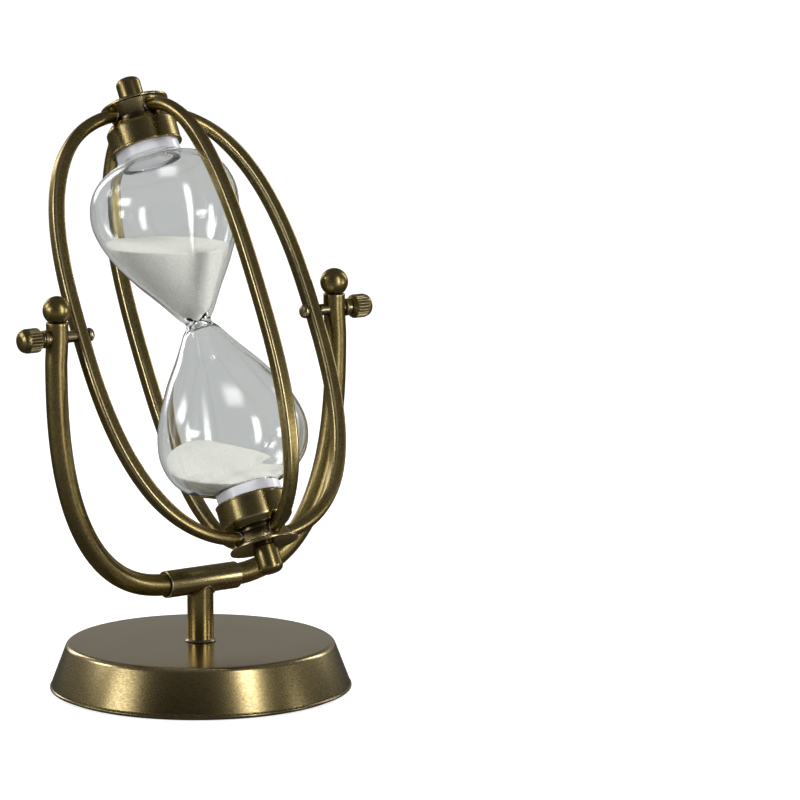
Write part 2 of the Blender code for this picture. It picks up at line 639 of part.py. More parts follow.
def make_glass():
    half = stations() + [GLASS_END]
    up = [(glass_outer(d), d) for d in half]
    down = [(glass_inner(d), d) for d in half]
    profile = [(r, d) for r, d in reversed(up)] + [(r, -d) for r, d in up[1:]]
    profile += [(r, -d) for r, d in reversed(down)] + [(r, d) for r, d in down[1:]]
    glass = material("glass_bulbs", (0.95, 0.96, 0.96), 0.02, 0.0, 1.0)
    lathe("glass_bulbs", profile, 28, glass, cage, ring=True)


def sand_body(name, start, stop, sign, mat):
    """Everything inside one bulb between two heights, kept clear of the glass."""
    heights = [start] + [d for d in stations() if start < d < stop] + [stop]
    profile = [(max(glass_inner(d) - FIT, ORIFICE_DIAMETER / 4), d) for d in reversed(heights)]
    profile = [(0.0, stop)] + profile + [(0.0, start)]
    return lathe(name, profile, 28, mat, cage, rotation=end_rotation(sign))


def make_sand():
    mat = material("upper_sand", (0.80, 0.79, 0.75), 0.9, 0.0)
    upper = sand_body("upper_sand", WAIST_SPAN * 0.5, STOPPER_LIP - LEAD, 1, mat)
    level = lathe("sand_level", round_bar(BULB_R * 2.5, SAND_LEVEL, -HUB_REACH), 24, parent=stand,
                  location=(0.0, 0.0, PIVOT_Z), cutter=True)
    cut(upper, level, 'INTERSECT')

    mat = material("lower_sand", (0.80, 0.79, 0.75), 0.9, 0.0)
    lower = sand_body("lower_sand", BULB_R * 0.5, GLASS_END, -1, mat)
    wide = BULB_R * 3
    slope = wide * math.tan(SAND_REPOSE)
    heap = [(0.0, -SAND_PEAK_DROP), (wide, -SAND_PEAK_DROP - slope),
            (wide, -SAND_PEAK_DROP - slope - HUB_REACH), (0.0, -SAND_PEAK_DROP - slope - HUB_REACH)]
    heap = lathe("sand_heap", heap, 24, parent=stand, location=(0.0, 0.0, PIVOT_Z), cutter=True)
    cut(lower, heap, 'INTERSECT')


make_base()
make_stem()
make_sleeve()
make_arms()
make_balls()
make_pivots()
make_ends()
make_hoops()
make_glass()
make_sand()
bpy.context.view_layer.update()
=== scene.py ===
# Tilting hourglass: a bulb glass in a cage of four hoops, hung between two thumb knobs in a
# U-shaped stand on a round weighted base. Metal in antique brass, sand off-white.
# Metres, +Z up, the foot's middle at the origin, the pivots along X.

import json
import math

import bmesh
import bpy
from mathutils import Matrix, Vector


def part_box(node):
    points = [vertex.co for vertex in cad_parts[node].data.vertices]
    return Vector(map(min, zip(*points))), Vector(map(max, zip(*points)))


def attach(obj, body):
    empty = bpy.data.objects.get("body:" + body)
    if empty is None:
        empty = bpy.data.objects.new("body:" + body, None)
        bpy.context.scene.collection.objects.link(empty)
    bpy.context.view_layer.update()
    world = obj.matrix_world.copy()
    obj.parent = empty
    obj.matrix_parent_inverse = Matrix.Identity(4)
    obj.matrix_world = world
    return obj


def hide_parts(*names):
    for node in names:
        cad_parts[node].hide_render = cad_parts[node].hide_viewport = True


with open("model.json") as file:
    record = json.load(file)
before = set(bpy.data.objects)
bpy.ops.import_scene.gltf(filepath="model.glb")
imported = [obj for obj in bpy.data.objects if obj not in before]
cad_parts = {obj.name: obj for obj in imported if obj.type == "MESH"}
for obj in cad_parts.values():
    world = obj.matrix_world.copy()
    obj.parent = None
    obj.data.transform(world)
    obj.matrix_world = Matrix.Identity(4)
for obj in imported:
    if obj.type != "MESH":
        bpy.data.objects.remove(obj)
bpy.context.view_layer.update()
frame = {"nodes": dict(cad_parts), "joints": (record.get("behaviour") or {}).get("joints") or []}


# ------------------------------------------------------------------ camera
# A long lens from a little above the pivots, turned so that the hourglass stands in the left
# half of the picture.
CAMERA_PLACE = (-1.2415, -1.7812, 0.4848)
CAMERA_PITCH = math.radians(80.73)
CAMERA_YAW = math.radians(-37.23)


def placed(name, data):
    """A new object in the scene."""
    made = bpy.data.objects.new(name, data)
    bpy.context.scene.collection.objects.link(made)
    return made


lens = bpy.data.cameras.new("camera")
lens.lens = 222.92
lens.sensor_width = 36.0
lens.clip_end = 100.0
camera = placed("camera", lens)
camera.location = CAMERA_PLACE
camera.rotation_euler = (CAMERA_PITCH, 0.0, CAMERA_YAW)
bpy.context.scene.camera = camera


# ------------------------------------------------------------------ studio
# A white floor and sweep, and soft boxes: two broad ones on the left, a tall bright strip and a
# small box on the right, a top one that nothing mirrors, and two weaker ones behind. The walls
# are seen only in the metal and through the glass.
SWEEP_WHITE = (1.0, 1.0, 1.0, 1.0)
GLASS_GREY = (0.53, 0.535, 0.53, 1.0)
FILL_GREY = (0.50, 0.50, 0.51, 1.0)
FLOOR_HALF = 30.0
FLOOR_GLOW = 0.78
BOX_BRIGHT_MIDDLE = 0.12
STUDIO_MIDDLE = Vector((0.0, 0.0, 0.14))
VIEW_SIDE = Vector((math.cos(CAMERA_YAW), math.sin(CAMERA_YAW), 0.0))
VIEW_BACK = Vector((math.sin(CAMERA_YAW), -math.cos(CAMERA_YAW), 0.0))


def add_node(tree, kind, sockets=None, **settings):
    """A node with its settings made and its inputs either linked or filled in."""
    made = tree.nodes.new(kind)
    for key, value in settings.items():
        setattr(made, key, value)
    for key, value in (sockets or {}).items():
        if isinstance(value, bpy.types.NodeSocket):
            tree.links.new(value, made.inputs[key])
        else:
            made.inputs[key].default_value = value
    return made


def node_out(tree, kind, sockets=None, **settings):
    """The first output of a new node."""
    return add_node(tree, kind, sockets, **settings).outputs[0]


def figure(tree, operation, *values):
    """One step of arithmetic on numbers or sockets."""
    return node_out(tree, "ShaderNodeMath", dict(enumerate(values)), operation=operation)


def ranged(tree, value, low, high, top=1.0, ease='LINEAR'):
    """How far a value lies from low to high, as a number from 0 to top."""
    return node_out(tree, "ShaderNodeMapRange", {
        "Value": value, "From Min": low, "From Max": high, "To Max": top},
        interpolation_type=ease)


def mixed(tree, factor, first, second):
    """The first colour turning into the second as the factor goes from 0 to 1."""
    return add_node(tree, "ShaderNodeMix", {"Factor": factor, 6: first, 7: second},
                    data_type='RGBA').outputs[2]


def soft_box(name, round_by, rise, distance, width, height, watts, mirrored=True):
    """A soft-edged light aimed at the glass, placed by degrees right of the camera and up."""
    flat = math.cos(math.radians(rise))
    towards = (VIEW_SIDE * math.sin(math.radians(round_by)) * flat
               + VIEW_BACK * math.cos(math.radians(round_by)) * flat
               + Vector((0.0, 0.0, math.sin(math.radians(rise)))))
    light = bpy.data.lights.new(name, 'AREA')
    light.shape = 'RECTANGLE'
    light.size = width
    light.size_y = height
    light.energy = watts
    light.use_nodes = True
    tree = light.node_tree
    tree.nodes.clear()
    across = add_node(tree, "ShaderNodeSeparateXYZ", {
        0: add_node(tree, "ShaderNodeNewGeometry").outputs["Parametric"]})
    fades = []
    for way in ("X", "Y"):
        off = figure(tree, 'ABSOLUTE', figure(tree, 'SUBTRACT', across.outputs[way], 0.5))
        fades.append(ranged(tree, off, 0.5, BOX_BRIGHT_MIDDLE, ease='SMOOTHSTEP'))
    shine = node_out(tree, "ShaderNodeEmission", {"Strength": figure(tree, 'MULTIPLY', *fades)})
    add_node(tree, "ShaderNodeOutputLight", {0: shine})
    lamp = placed(name, light)
    lamp.location = STUDIO_MIDDLE + towards * distance
    lamp.rotation_euler = towards.to_track_quat('Z', 'Y').to_euler()
    lamp.visible_glossy = mirrored


soft_box("window_left", -63.0, 12.0, 1.5, 0.84, 0.52, 14.5)
soft_box("side_left", -96.0, 24.0, 1.5, 0.80, 0.60, 12.0)
soft_box("strip_right", 43.0, 14.0, 1.4, 0.38, 1.90, 28.0)
soft_box("side_right", 80.0, 2.0, 1.5, 0.30, 0.56, 9.0)
soft_box("box_top", 10.0, 76.0, 1.5, 0.9, 0.9, 27.0, mirrored=False)
soft_box("box_back_left", -143.0, 18.0, 1.6, 0.42, 1.1, 9.0)
soft_box("box_back_right", 129.0, 22.0, 1.6, 0.45, 1.1, 11.0)

sky = bpy.data.worlds.new("studio")
bpy.context.scene.world = sky
sky.use_nodes = True
sky_tree = sky.node_tree
sky_tree.nodes.clear()
ray = add_node(sky_tree, "ShaderNodeLightPath")
direction = add_node(sky_tree, "ShaderNodeTexCoord").outputs["Generated"]
height_of = add_node(sky_tree, "ShaderNodeSeparateXYZ", {0: direction}).outputs["Z"]
ahead = add_node(sky_tree, "ShaderNodeVectorMath", {
    0: direction, 1: tuple(VIEW_BACK)}, operation='DOT_PRODUCT').outputs["Value"]


def wall_ramp(stops):
    """Brightness of the studio by height, from (height, grey) stops between -1 and 1."""
    ramp = add_node(sky_tree, "ShaderNodeValToRGB", {0: figure(
        sky_tree, 'MULTIPLY_ADD', height_of, 0.5, 0.5)})
    while len(ramp.color_ramp.elements) < len(stops):
        ramp.color_ramp.elements.new(0.5)
    for element, (height, grey) in zip(ramp.color_ramp.elements, stops):
        element.position = height * 0.5 + 0.5
        element.color = (grey, grey, grey, 1.0)
    return ramp.outputs[0]


front_wall = wall_ramp(((-1.0, 0.10), (-0.62, 0.12), (-0.27, 0.36), (-0.10, 0.22), (0.12, 0.10),
                        (0.60, 0.09), (1.0, 0.16)))
back_wall = wall_ramp(((-1.0, 0.10), (-0.50, 0.10), (-0.05, 0.09), (0.06, 0.30), (0.22, 0.36),
                       (0.50, 0.16), (1.0, 0.16)))
seen = mixed(sky_tree, ranged(sky_tree, ahead, -0.35, 0.45, ease='SMOOTHSTEP'),
             back_wall, front_wall)
for kind_of_ray, tone in (("Is Transmission Ray", GLASS_GREY), ("Is Diffuse Ray", FILL_GREY),
                          ("Is Camera Ray", SWEEP_WHITE)):
    seen = mixed(sky_tree, ray.outputs[kind_of_ray], seen, tone)
glow = node_out(sky_tree, "ShaderNodeBackground", {0: seen, 1: 1.0})
add_node(sky_tree, "ShaderNodeOutputWorld", {0: glow})

sheet = bpy.data.meshes.new("floor")
sheet.from_pydata([(x * FLOOR_HALF, y * FLOOR_HALF, 0.0)
                   for x, y in ((-1, -1), (1, -1), (1, 1), (-1, 1))], [], [(0, 1, 2, 3)])
paper = bpy.data.materials.new("sweep_paper")
paper.use_nodes = True
paper.node_tree.nodes.clear()
matt = node_out(paper.node_tree, "ShaderNodeBsdfDiffuse", {"Color": (0.5, 0.5, 0.5, 1.0)})
lit = node_out(paper.node_tree, "ShaderNodeEmission", {
    "Color": SWEEP_WHITE, "Strength": FLOOR_GLOW})
both = node_out(paper.node_tree, "ShaderNodeAddShader", {0: matt, 1: lit})
add_node(paper.node_tree, "ShaderNodeOutputMaterial", {0: both})
sheet.materials.append(paper)
floor = placed("floor", sheet)
floor.visible_glossy = False
floor.visible_transmission = False
floor.visible_diffuse = False
bpy.context.scene.view_settings.view_transform = 'Standard'


# ------------------------------------------------------------------ base
# A spun brass shell over an iron weight, with a soft pad under it. The side leans in from a
# low, narrow lip at the foot to a rounded edge; the top plate is flat and satin.
base_lo, base_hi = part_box("base_shell")
BASE_R = (base_hi.x - base_lo.x) / 2
BASE_TOP = base_hi.z
BASE_FOOT = base_lo.z
SIDE_INSET = 0.0078
TOP_EDGE_ROUND = 0.0030
LIP_ROUND = 0.0010
LIP_TOP = 0.0026
LIP_STEP = LIP_ROUND * 0.62
FOOT_DARKENING = -0.35
SHEET_BRASS = 0.0015
PLATE_RIM = 0.030
BOLT_HOLE = 0.0033

BRIGHT_BRASS = (0.66, 0.55, 0.32, 1.0)
GLANCING_BRASS = (0.66, 0.55, 0.36, 1.0)
OLD_BRASS = (0.310, 0.232, 0.080)
BROWN_BRASS = (0.105, 0.075, 0.019)
BLACKENED = (0.035, 0.027, 0.016, 1.0)


def new_material(name):
    """A material, its tree and its shader."""
    mat = bpy.data.materials.new(name)
    mat.use_nodes = True
    return mat, mat.node_tree, mat.node_tree.nodes["Principled BSDF"]


def noise(tree, where, scale, detail, roughness=0.5):
    """Cloudy noise from 0 to 1."""
    return add_node(tree, "ShaderNodeTexNoise", {
        "Vector": where, "Scale": scale, "Detail": detail, "Roughness": roughness}).outputs["Fac"]


def attribute(tree, name, output="Fac"):
    """A value stored on the mesh."""
    return add_node(tree, "ShaderNodeAttribute", attribute_name=name).outputs[output]


def object_place(tree):
    """The place on the object, in metres."""
    return add_node(tree, "ShaderNodeTexCoord").outputs["Object"]


def rough_bump(tree, strength, depth, height):
    """A bumped normal."""
    return node_out(tree, "ShaderNodeBump", {
        "Strength": strength, "Distance": depth, "Height": height})


def shade(tree, surface, **values):
    """Links or sets a shader's inputs, whose names are written with underscores."""
    for key, value in values.items():
        place = surface.inputs[key.replace("_", " ")]
        if isinstance(value, bpy.types.NodeSocket):
            tree.links.new(value, place)
        else:
            place.default_value = value


def antique_brass(name, worn=OLD_BRASS, tarnish=BROWN_BRASS, grain=1500.0, stretch=(1.0, 1.0, 1.0),
                  balance=0.5, roughness=0.33, dents=0.10, swept=False, gloss_spread=0.08,
                  coat=0.45, contrast=1.7):
    """Brass with a dark brown patina rubbed back in fine specks and along the edges."""
    mat, tree, surface = new_material(name)
    place = attribute(tree, "lay", "Vector") if swept else object_place(tree)
    lay = node_out(tree, "ShaderNodeMapping", {"Vector": place, "Scale": stretch})
    specks = noise(tree, lay, grain, 3.0, 0.65)
    clouds = noise(tree, place, 70.0, 4.0, 0.6)
    pits = noise(tree, lay, grain * 0.45, 1.0)
    rub = figure(tree, 'MULTIPLY_ADD', figure(tree, 'SUBTRACT', specks, 0.5), contrast, balance)
    rub = figure(tree, 'MULTIPLY_ADD', figure(tree, 'SUBTRACT', clouds, 0.5), 0.5, rub)
    rubbed = node_out(tree, "ShaderNodeClamp", {0: rub})
    body = mixed(tree, rubbed, (*tarnish, 1.0), (*worn, 1.0))
    body = mixed(tree, ranged(tree, pits, 0.35, 0.27, 0.35), body, BLACKENED)
    polish = figure(tree, 'MULTIPLY', attribute(tree, "wear"), figure(
        tree, 'MULTIPLY_ADD', specks, 0.5, 0.35))
    polish = node_out(tree, "ShaderNodeClamp", {0: polish})
    colour = mixed(tree, polish, body, BRIGHT_BRASS)
    # Painted shade: the stored darkening blackens the hub necks and the cap and finial creases
    # where shade falls; it also darkens the base's foot and the knob's flute grooves.
    colour = mixed(tree, attribute(tree, "painted_shade_and_darkening"), colour, BLACKENED)
    rough = figure(tree, 'MULTIPLY_ADD', figure(tree, 'SUBTRACT', 0.5, specks), gloss_spread * 2,
                   roughness)
    rough = figure(tree, 'MULTIPLY_ADD', polish, -0.08, rough)
    shade(tree, surface, Base_Color=colour, Roughness=rough, Metallic=1.0,
          Normal=rough_bump(tree, dents, 0.00006, specks), Specular_Tint=GLANCING_BRASS,
          Coat_Weight=coat, Coat_Roughness=0.22, Coat_IOR=1.5)
    return mat


def rounded(corners, arc_points=6):
    """A turning profile from (radius, height, rounding) corners: points, and how worn each is."""
    out = []
    for i, (r, z, round_by) in enumerate(corners):
        here = Vector((r, z))
        if round_by == 0.0 or i in (0, len(corners) - 1):
            out.append((r, z, 0.0))
            continue
        before = Vector(corners[i - 1][:2]) - here
        after = Vector(corners[i + 1][:2]) - here
        half = before.angle(after) / 2
        back = min(round_by / math.tan(half), before.length * 0.49, after.length * 0.49)
        radius = back * math.tan(half)
        a, b = before.normalized(), after.normalized()
        centre = here + (a + b).normalized() * (radius / math.sin(half))
        start, stop = here + a * back - centre, here + b * back - centre
        sweep = start.angle_signed(stop)
        for k in range(arc_points + 1):
            t = k / arc_points
            turn = Matrix.Rotation(-sweep * t, 2)
            point = centre + turn @ start
            out.append((max(point.x, 0.0), point.y, math.sin(math.pi * (0.1 + 0.8 * t))))
    return out


def turned(name, profile, place, steps=96, closed=False, wear=1.0):
    """A lathed piece about its own Z, from (radius, height, wear); wear below 0 darkens the colour
    instead, as painted shade at necks and creases.
    """
    bm = bmesh.new()
    worn = bm.verts.layers.float.new("wear")
    darkening = bm.verts.layers.float.new("painted_shade_and_darkening")
    rings = []
    for r, z, w in profile:
        if r < 1e-7:
            ring = [bm.verts.new((0.0, 0.0, z))]
        else:
            ring = [bm.verts.new((r * math.cos(2 * math.pi * k / steps),
                                  r * math.sin(2 * math.pi * k / steps), z))
                    for k in range(steps)]
        for v in ring:
            v[worn] = max(w, 0.0) * wear
            v[darkening] = max(-w, 0.0)
        rings.append(ring)
    pairs = list(zip(rings, rings[1:]))
    if closed:
        pairs.append((rings[-1], rings[0]))
    for a, b in pairs:
        for k in range(steps):
            n = (k + 1) % steps
            corners = [a[k % len(a)], b[k % len(b)], b[n % len(b)], a[n % len(a)]]
            corners = list(dict.fromkeys(corners))
            if len(corners) > 2:
                bm.faces.new(corners)
    if bm.calc_volume(signed=True) < 0:
        bmesh.ops.reverse_faces(bm, faces=bm.faces)
    bm.transform(place)
    mesh = bpy.data.meshes.new(name)
    bm.to_mesh(mesh)
    bm.free()
    mesh.shade_smooth()
    mesh.set_sharp_from_angle(angle=math.radians(35))
    return placed(name, mesh)


def give(piece, finish, body, *nodes):
    """The finish, the body it rides on, and the nodes it stands for, which are hidden."""
    piece.data.materials.clear()
    piece.data.materials.append(finish)
    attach(piece, body)
    if nodes:
        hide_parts(*nodes)
    return piece


LEVEL = Matrix.Identity(4)
inner_foot = BASE_R - LIP_ROUND - SHEET_BRASS
side_top = BASE_R - SIDE_INSET
shell_line = rounded([
    (BOLT_HOLE, BASE_TOP, 0.0), (side_top - PLATE_RIM, BASE_TOP, 0.0),
    (side_top, BASE_TOP, TOP_EDGE_ROUND), (BASE_R - LIP_STEP, LIP_TOP + 0.0004, 0.0003),
    (BASE_R - LIP_STEP, LIP_TOP, 0.0002), (BASE_R, LIP_TOP - 0.0005, 0.0006),
    (BASE_R, BASE_FOOT, 0.0009),
    (inner_foot, BASE_FOOT, 0.0004), (inner_foot, LIP_TOP, 0.0),
    (side_top - SHEET_BRASS, BASE_TOP - SHEET_BRASS, 0.0),
    (BOLT_HOLE, BASE_TOP - SHEET_BRASS, 0.0)], arc_points=9)
# Below the lip's top the shell is darker towards the foot, and not worn.
shell_line = [(r, z, w if z > LIP_TOP + 0.002 else FOOT_DARKENING) for r, z, w in shell_line]
shell = turned("base_shell_skin", shell_line, LEVEL, steps=224, closed=True, wear=0.75)

shell_brass = antique_brass("base_brass", grain=1350.0, stretch=(0.45, 0.45, 1.0),
                            worn=(0.33, 0.245, 0.085), tarnish=(0.105, 0.074, 0.018),
                            balance=0.48, roughness=0.27, dents=0.22, coat=0.65)
tree = shell_brass.node_tree
surface = tree.nodes["Principled BSDF"]
tilt = add_node(tree, "ShaderNodeSeparateXYZ", {
    0: add_node(tree, "ShaderNodeNewGeometry").outputs["Normal"]}).outputs["Z"]
on_top = ranged(tree, tilt, 0.93, 0.998)
smooth_clouds = noise(tree, object_place(tree), 45.0, 5.0, 0.55)
plate = mixed(tree, smooth_clouds, (0.30, 0.245, 0.145, 1.0), (0.50, 0.42, 0.27, 1.0))
side_colour = surface.inputs["Base Color"].links[0].from_socket
side_rough = surface.inputs["Roughness"].links[0].from_socket
satin = figure(tree, 'MULTIPLY_ADD', smooth_clouds, 0.10, 0.16)
rough = node_out(tree, "ShaderNodeMix", {"Factor": on_top, 2: side_rough, 3: satin})
shade(tree, surface, Base_Color=mixed(tree, on_top, side_colour, plate), Roughness=rough,
      Specular_Tint=(0.72, 0.66, 0.54, 1.0))
give(shell, shell_brass, "stand", "base_shell")


def plain(name, colour, roughness, metallic=0.0, grain=900.0, spread=0.25, dents=0.2,
          depth=0.00005):
    """A one-coloured stuff with a fine grain in its tone, its gloss and its surface."""
    mat, tree, surface = new_material(name)
    grains = noise(tree, object_place(tree), grain, 4.0, 0.6)
    darker = tuple(c * (1 - spread) for c in colour)
    lighter = tuple(min(c * (1 + spread), 0.95) for c in colour)
    tone = mixed(tree, grains, (*darker, 1.0), (*lighter, 1.0))
    rough = figure(tree, 'MULTIPLY_ADD', grains, 0.12, roughness - 0.06)
    shade(tree, surface, Base_Color=tone, Roughness=rough, Metallic=metallic,
          Normal=rough_bump(tree, dents, depth, grains))
    return mat


pad_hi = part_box("base_pad")[1]
pad_line = rounded([(0.0, pad_hi.z, 0.0), (pad_hi.x, pad_hi.z, 0.0004), (pad_hi.x, 0.0, 0.0005),
                    (0.0, 0.0, 0.0)])
pad = turned("base_pad_foam", pad_line, LEVEL, steps=128)
give(pad, plain("foam", (0.018, 0.018, 0.018), 0.92, grain=700.0, spread=0.5, dents=0.8,
                depth=0.0002), "stand", "base_pad")

iron = plain("cast_iron", (0.075, 0.073, 0.070), 0.70, metallic=0.7, grain=500.0, dents=0.9,
             depth=0.0003)
zinc = plain("zinc_plate", (0.46, 0.46, 0.44), 0.34, metallic=1.0, grain=1600.0, spread=0.12)
for hidden, finish in (("base_weight", iron), ("base_screw", zinc), ("base_washer", zinc),
                       ("upper_stud", zinc), ("lower_stud", zinc)):
    held = frame["nodes"][hidden]
    held.data.materials.clear()
    held.data.materials.append(finish)


# ------------------------------------------------------------------ stem
# A plain round post, its top coped to the sleeve and brazed to it; a thin ring of braze shows
# at the foot, where it meets the base.
stem_lo, stem_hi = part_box("stem")
STEM_R = (stem_hi.x - stem_lo.x) / 2
STEM_FOOT = stem_lo.z
sleeve_lo, sleeve_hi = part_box("tee_sleeve")
SLEEVE_Z = (sleeve_lo.z + sleeve_hi.z) / 2
SLEEVE_R = (sleeve_hi.z - sleeve_lo.z) / 2
SLEEVE_HALF = (sleeve_hi.x - sleeve_lo.x) / 2
STEM_TOP = SLEEVE_Z - SLEEVE_R * 0.35

stem_line = [(0.0, STEM_TOP, 0.0)]
stem_line += [(STEM_R, STEM_TOP - k * 0.0012, 0.0) for k in range(18)]
stem_line += [(STEM_R, STEM_FOOT, 0.0), (0.0, STEM_FOOT, 0.0)]
rod_brass = antique_brass("post_brass", grain=2200.0, stretch=(1.0, 1.0, 0.5), balance=0.44,
                          roughness=0.27, contrast=1.3)
give(turned("stem_post", stem_line, LEVEL, steps=80), rod_brass, "stand", "stem")

ring_lo, ring_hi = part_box("stem_ring")
ring_line = [(STEM_R - 0.0001, ring_hi.z + 0.0002, 0.2)] + rounded([
    (STEM_R + 0.0001, ring_hi.z, 0.0), (STEM_R + 0.0004, ring_hi.z, 0.0003),
    (ring_hi.x, ring_lo.z, 0.0), (STEM_R + 0.0001, ring_lo.z, 0.0)], 4)
braze = antique_brass("braze", worn=(0.42, 0.38, 0.30), tarnish=(0.16, 0.13, 0.09), balance=0.5,
                      roughness=0.30, grain=2200.0)
give(turned("stem_braze_ring", ring_line, LEVEL, steps=96, closed=True), braze, "stand",
     "stem_ring")


def new_tree(name, *sockets):
    """An empty geometry tree and its inputs."""
    tree = bpy.data.node_groups.new(name, 'GeometryNodeTree')
    tree.interface.new_socket("Geometry", in_out='INPUT', socket_type='NodeSocketGeometry')
    tree.interface.new_socket("Geometry", in_out='OUTPUT', socket_type='NodeSocketGeometry')
    for label, kind in sockets:
        tree.interface.new_socket(label, in_out='INPUT', socket_type='NodeSocket' + kind)
    return tree, tree.nodes.new("NodeGroupInput").outputs


def end_tree(tree, geometry, finish):
    """Realizes the geometry, gives it the finish and sends it to the tree's output."""
    real = node_out(tree, "GeometryNodeRealizeInstances", {0: geometry})
    done = node_out(tree, "GeometryNodeSetMaterial", {"Geometry": real, "Material": finish})
    add_node(tree, "NodeGroupOutput", {0: done})


def stored(tree, geometry, name, value, kind='FLOAT'):
    """Keeps a value on the points of the geometry."""
    return node_out(tree, "GeometryNodeStoreNamedAttribute", {
        "Geometry": geometry, "Name": name, "Value": value}, data_type=kind, domain='POINT')


def vector(tree, operation, sockets):
    """One step of arithmetic on vectors."""
    return node_out(tree, "ShaderNodeVectorMath", sockets, operation=operation)


def final_mesh(piece):
    """The mesh that a piece's modifiers make of it; the piece itself is removed."""
    bpy.context.view_layer.update()
    graph = bpy.context.evaluated_depsgraph_get()
    mesh = bpy.data.meshes.new_from_object(piece.evaluated_get(graph))
    bpy.data.objects.remove(piece, do_unlink=True)
    return mesh


def grown(name, base_mesh, tree, values):
    """Runs a geometry tree on a mesh and keeps the result as a plain mesh object."""
    seed = placed(name + "_seed", base_mesh)
    run = seed.modifiers.new("grow", 'NODES')
    run.node_group = tree
    for item in tree.interface.items_tree:
        if item.in_out == 'INPUT' and item.name in values:
            run[item.identifier] = values[item.name]
    mesh = final_mesh(seed)
    mesh.name = name
    return placed(name, mesh)


def path_mesh(name, points, closed=False):
    """A line of edges through the points."""
    mesh = bpy.data.meshes.new(name)
    links = [(i, i + 1) for i in range(len(points) - 1)]
    if closed:
        links.append((len(points) - 1, 0))
    mesh.from_pydata([tuple(p) for p in points], links, [])
    return mesh


# The braze between stem and sleeve: a bead laid along the saddle line where the two rounds meet.
bead_tree, bead = new_tree(
    "braze_bead", ("Bead Radius", "Float"), ("Unevenness", "Float"), ("Grain", "Float"),
    ("Finish", "Material"))
bead_curve = node_out(bead_tree, "GeometryNodeMeshToCurve", {0: bead["Geometry"]})
bead_round = node_out(bead_tree, "GeometryNodeCurvePrimitiveCircle", {
    "Resolution": 10, "Radius": bead["Bead Radius"]})
bead_body = node_out(bead_tree, "GeometryNodeCurveToMesh", {
    "Curve": bead_curve, "Profile Curve": bead_round, "Fill Caps": True})
lumps = add_node(bead_tree, "ShaderNodeTexNoise", {
    "Scale": bead["Grain"], "Detail": 2.0, "Roughness": 0.6}).outputs["Fac"]
swell = figure(bead_tree, 'MULTIPLY', figure(bead_tree, 'SUBTRACT', lumps, 0.5),
               bead["Unevenness"])
bead_lumpy = node_out(bead_tree, "GeometryNodeSetPosition", {
    "Geometry": bead_body, "Offset": vector(bead_tree, 'SCALE', {
        0: node_out(bead_tree, "GeometryNodeInputNormal"), "Scale": swell})})
bead_smooth = node_out(bead_tree, "GeometryNodeSetShadeSmooth", {0: bead_lumpy})
end_tree(bead_tree, bead_smooth, bead["Finish"])

saddle = []
for k in range(72):
    turn = 2 * math.pi * k / 72
    x, y = STEM_R * math.cos(turn), STEM_R * math.sin(turn)
    drop = math.sqrt(SLEEVE_R ** 2 - (y * 0.97) ** 2)
    saddle.append((x * 1.03, y * 1.03, SLEEVE_Z - drop - 0.0001))
saddle_bead = grown("saddle_bead", path_mesh("saddle", saddle, closed=True), bead_tree, {
    "Bead Radius": 0.00062, "Unevenness": 0.0003, "Grain": 500.0, "Finish": rod_brass})
give(saddle_bead, rod_brass, "stand")


# ------------------------------------------------------------------ sleeve
# A short tube lying across the stem. Both arms push into it; its ends are faced square with a
# small rounded edge, and a dark gap shows round each arm.
ALONG_X = Matrix.Translation((0.0, 0.0, SLEEVE_Z)) @ Matrix.Rotation(math.pi / 2, 4, 'Y')
SLEEVE_BORE = 0.0052
SLEEVE_EDGE = 0.0006
BORE_STEP = 0.003
sleeve_line = rounded([
    (SLEEVE_BORE, SLEEVE_HALF, 0.0), (SLEEVE_R, SLEEVE_HALF, SLEEVE_EDGE),
    (SLEEVE_R, -SLEEVE_HALF, SLEEVE_EDGE), (SLEEVE_BORE, -SLEEVE_HALF, 0.0)])
sleeve_line += [(SLEEVE_BORE, -SLEEVE_HALF + BORE_STEP, 0.0),
                (SLEEVE_BORE, SLEEVE_HALF - BORE_STEP, 0.0)]
sleeve_brass = antique_brass("sleeve_brass", grain=2000.0, stretch=(0.5, 1.0, 1.0), balance=0.55,
                             roughness=0.26, dents=0.04, contrast=0.9)
give(turned("tee_sleeve_tube", sleeve_line, ALONG_X, steps=96, closed=True), sleeve_brass,
     "stand", "tee_sleeve")


# ------------------------------------------------------------------ arms
# Two bent rods make the U. Each leaves the sleeve level, sweeps up through a full bend and ends
# as a post that leans in very slightly, bored for the pivot pin.
pivot = Vector(frame["joints"][0]["pos_m"])
ARM_FOOT = 0.0142
ARM_FULLNESS = 2.5
ARM_BULGE = 0.0007
BEND_BELOW_PIVOT = 0.0110
ball_lo, ball_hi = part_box("right_ball_finial")
POST_X = (ball_lo.x + ball_hi.x) / 2
ROD_R = 0.0049
POST_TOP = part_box("right_arm")[1].z
POST_CHAMFER = 0.0004

bar_tree, bar = new_tree(
    "bent_bar", ("Half Width", "Float"), ("Corner", "Float"), ("Round Share", "Float"),
    ("Sides", "Int"), ("Finish", "Material"))
bar_line = node_out(bar_tree, "GeometryNodeMeshToCurve", {0: bar["Geometry"]})
along = add_node(bar_tree, "GeometryNodeSplineParameter").outputs
here = node_out(bar_tree, "GeometryNodeInputPosition")
kept = add_node(bar_tree, "GeometryNodeCaptureAttribute", {"Geometry": bar_line})
for label, kind, source in (("share", 'FLOAT', along["Factor"]),
                            ("length", 'FLOAT', along["Length"]), ("middle", 'VECTOR', here)):
    kept.capture_items.new(kind, label)
    bar_tree.links.new(source, kept.inputs[label])
share, length = kept.outputs["share"], kept.outputs["length"]
full = figure(bar_tree, 'MULTIPLY', bar["Half Width"], 2.0)
square = add_node(bar_tree, "GeometryNodeCurvePrimitiveQuadrilateral", {
    "Width": full, "Height": full})
square_soft = node_out(bar_tree, "GeometryNodeFilletCurve", {
    "Curve": square.outputs[0], "Radius": bar["Corner"], "Count": 5, "Limit Radius": True},
    mode='POLY')
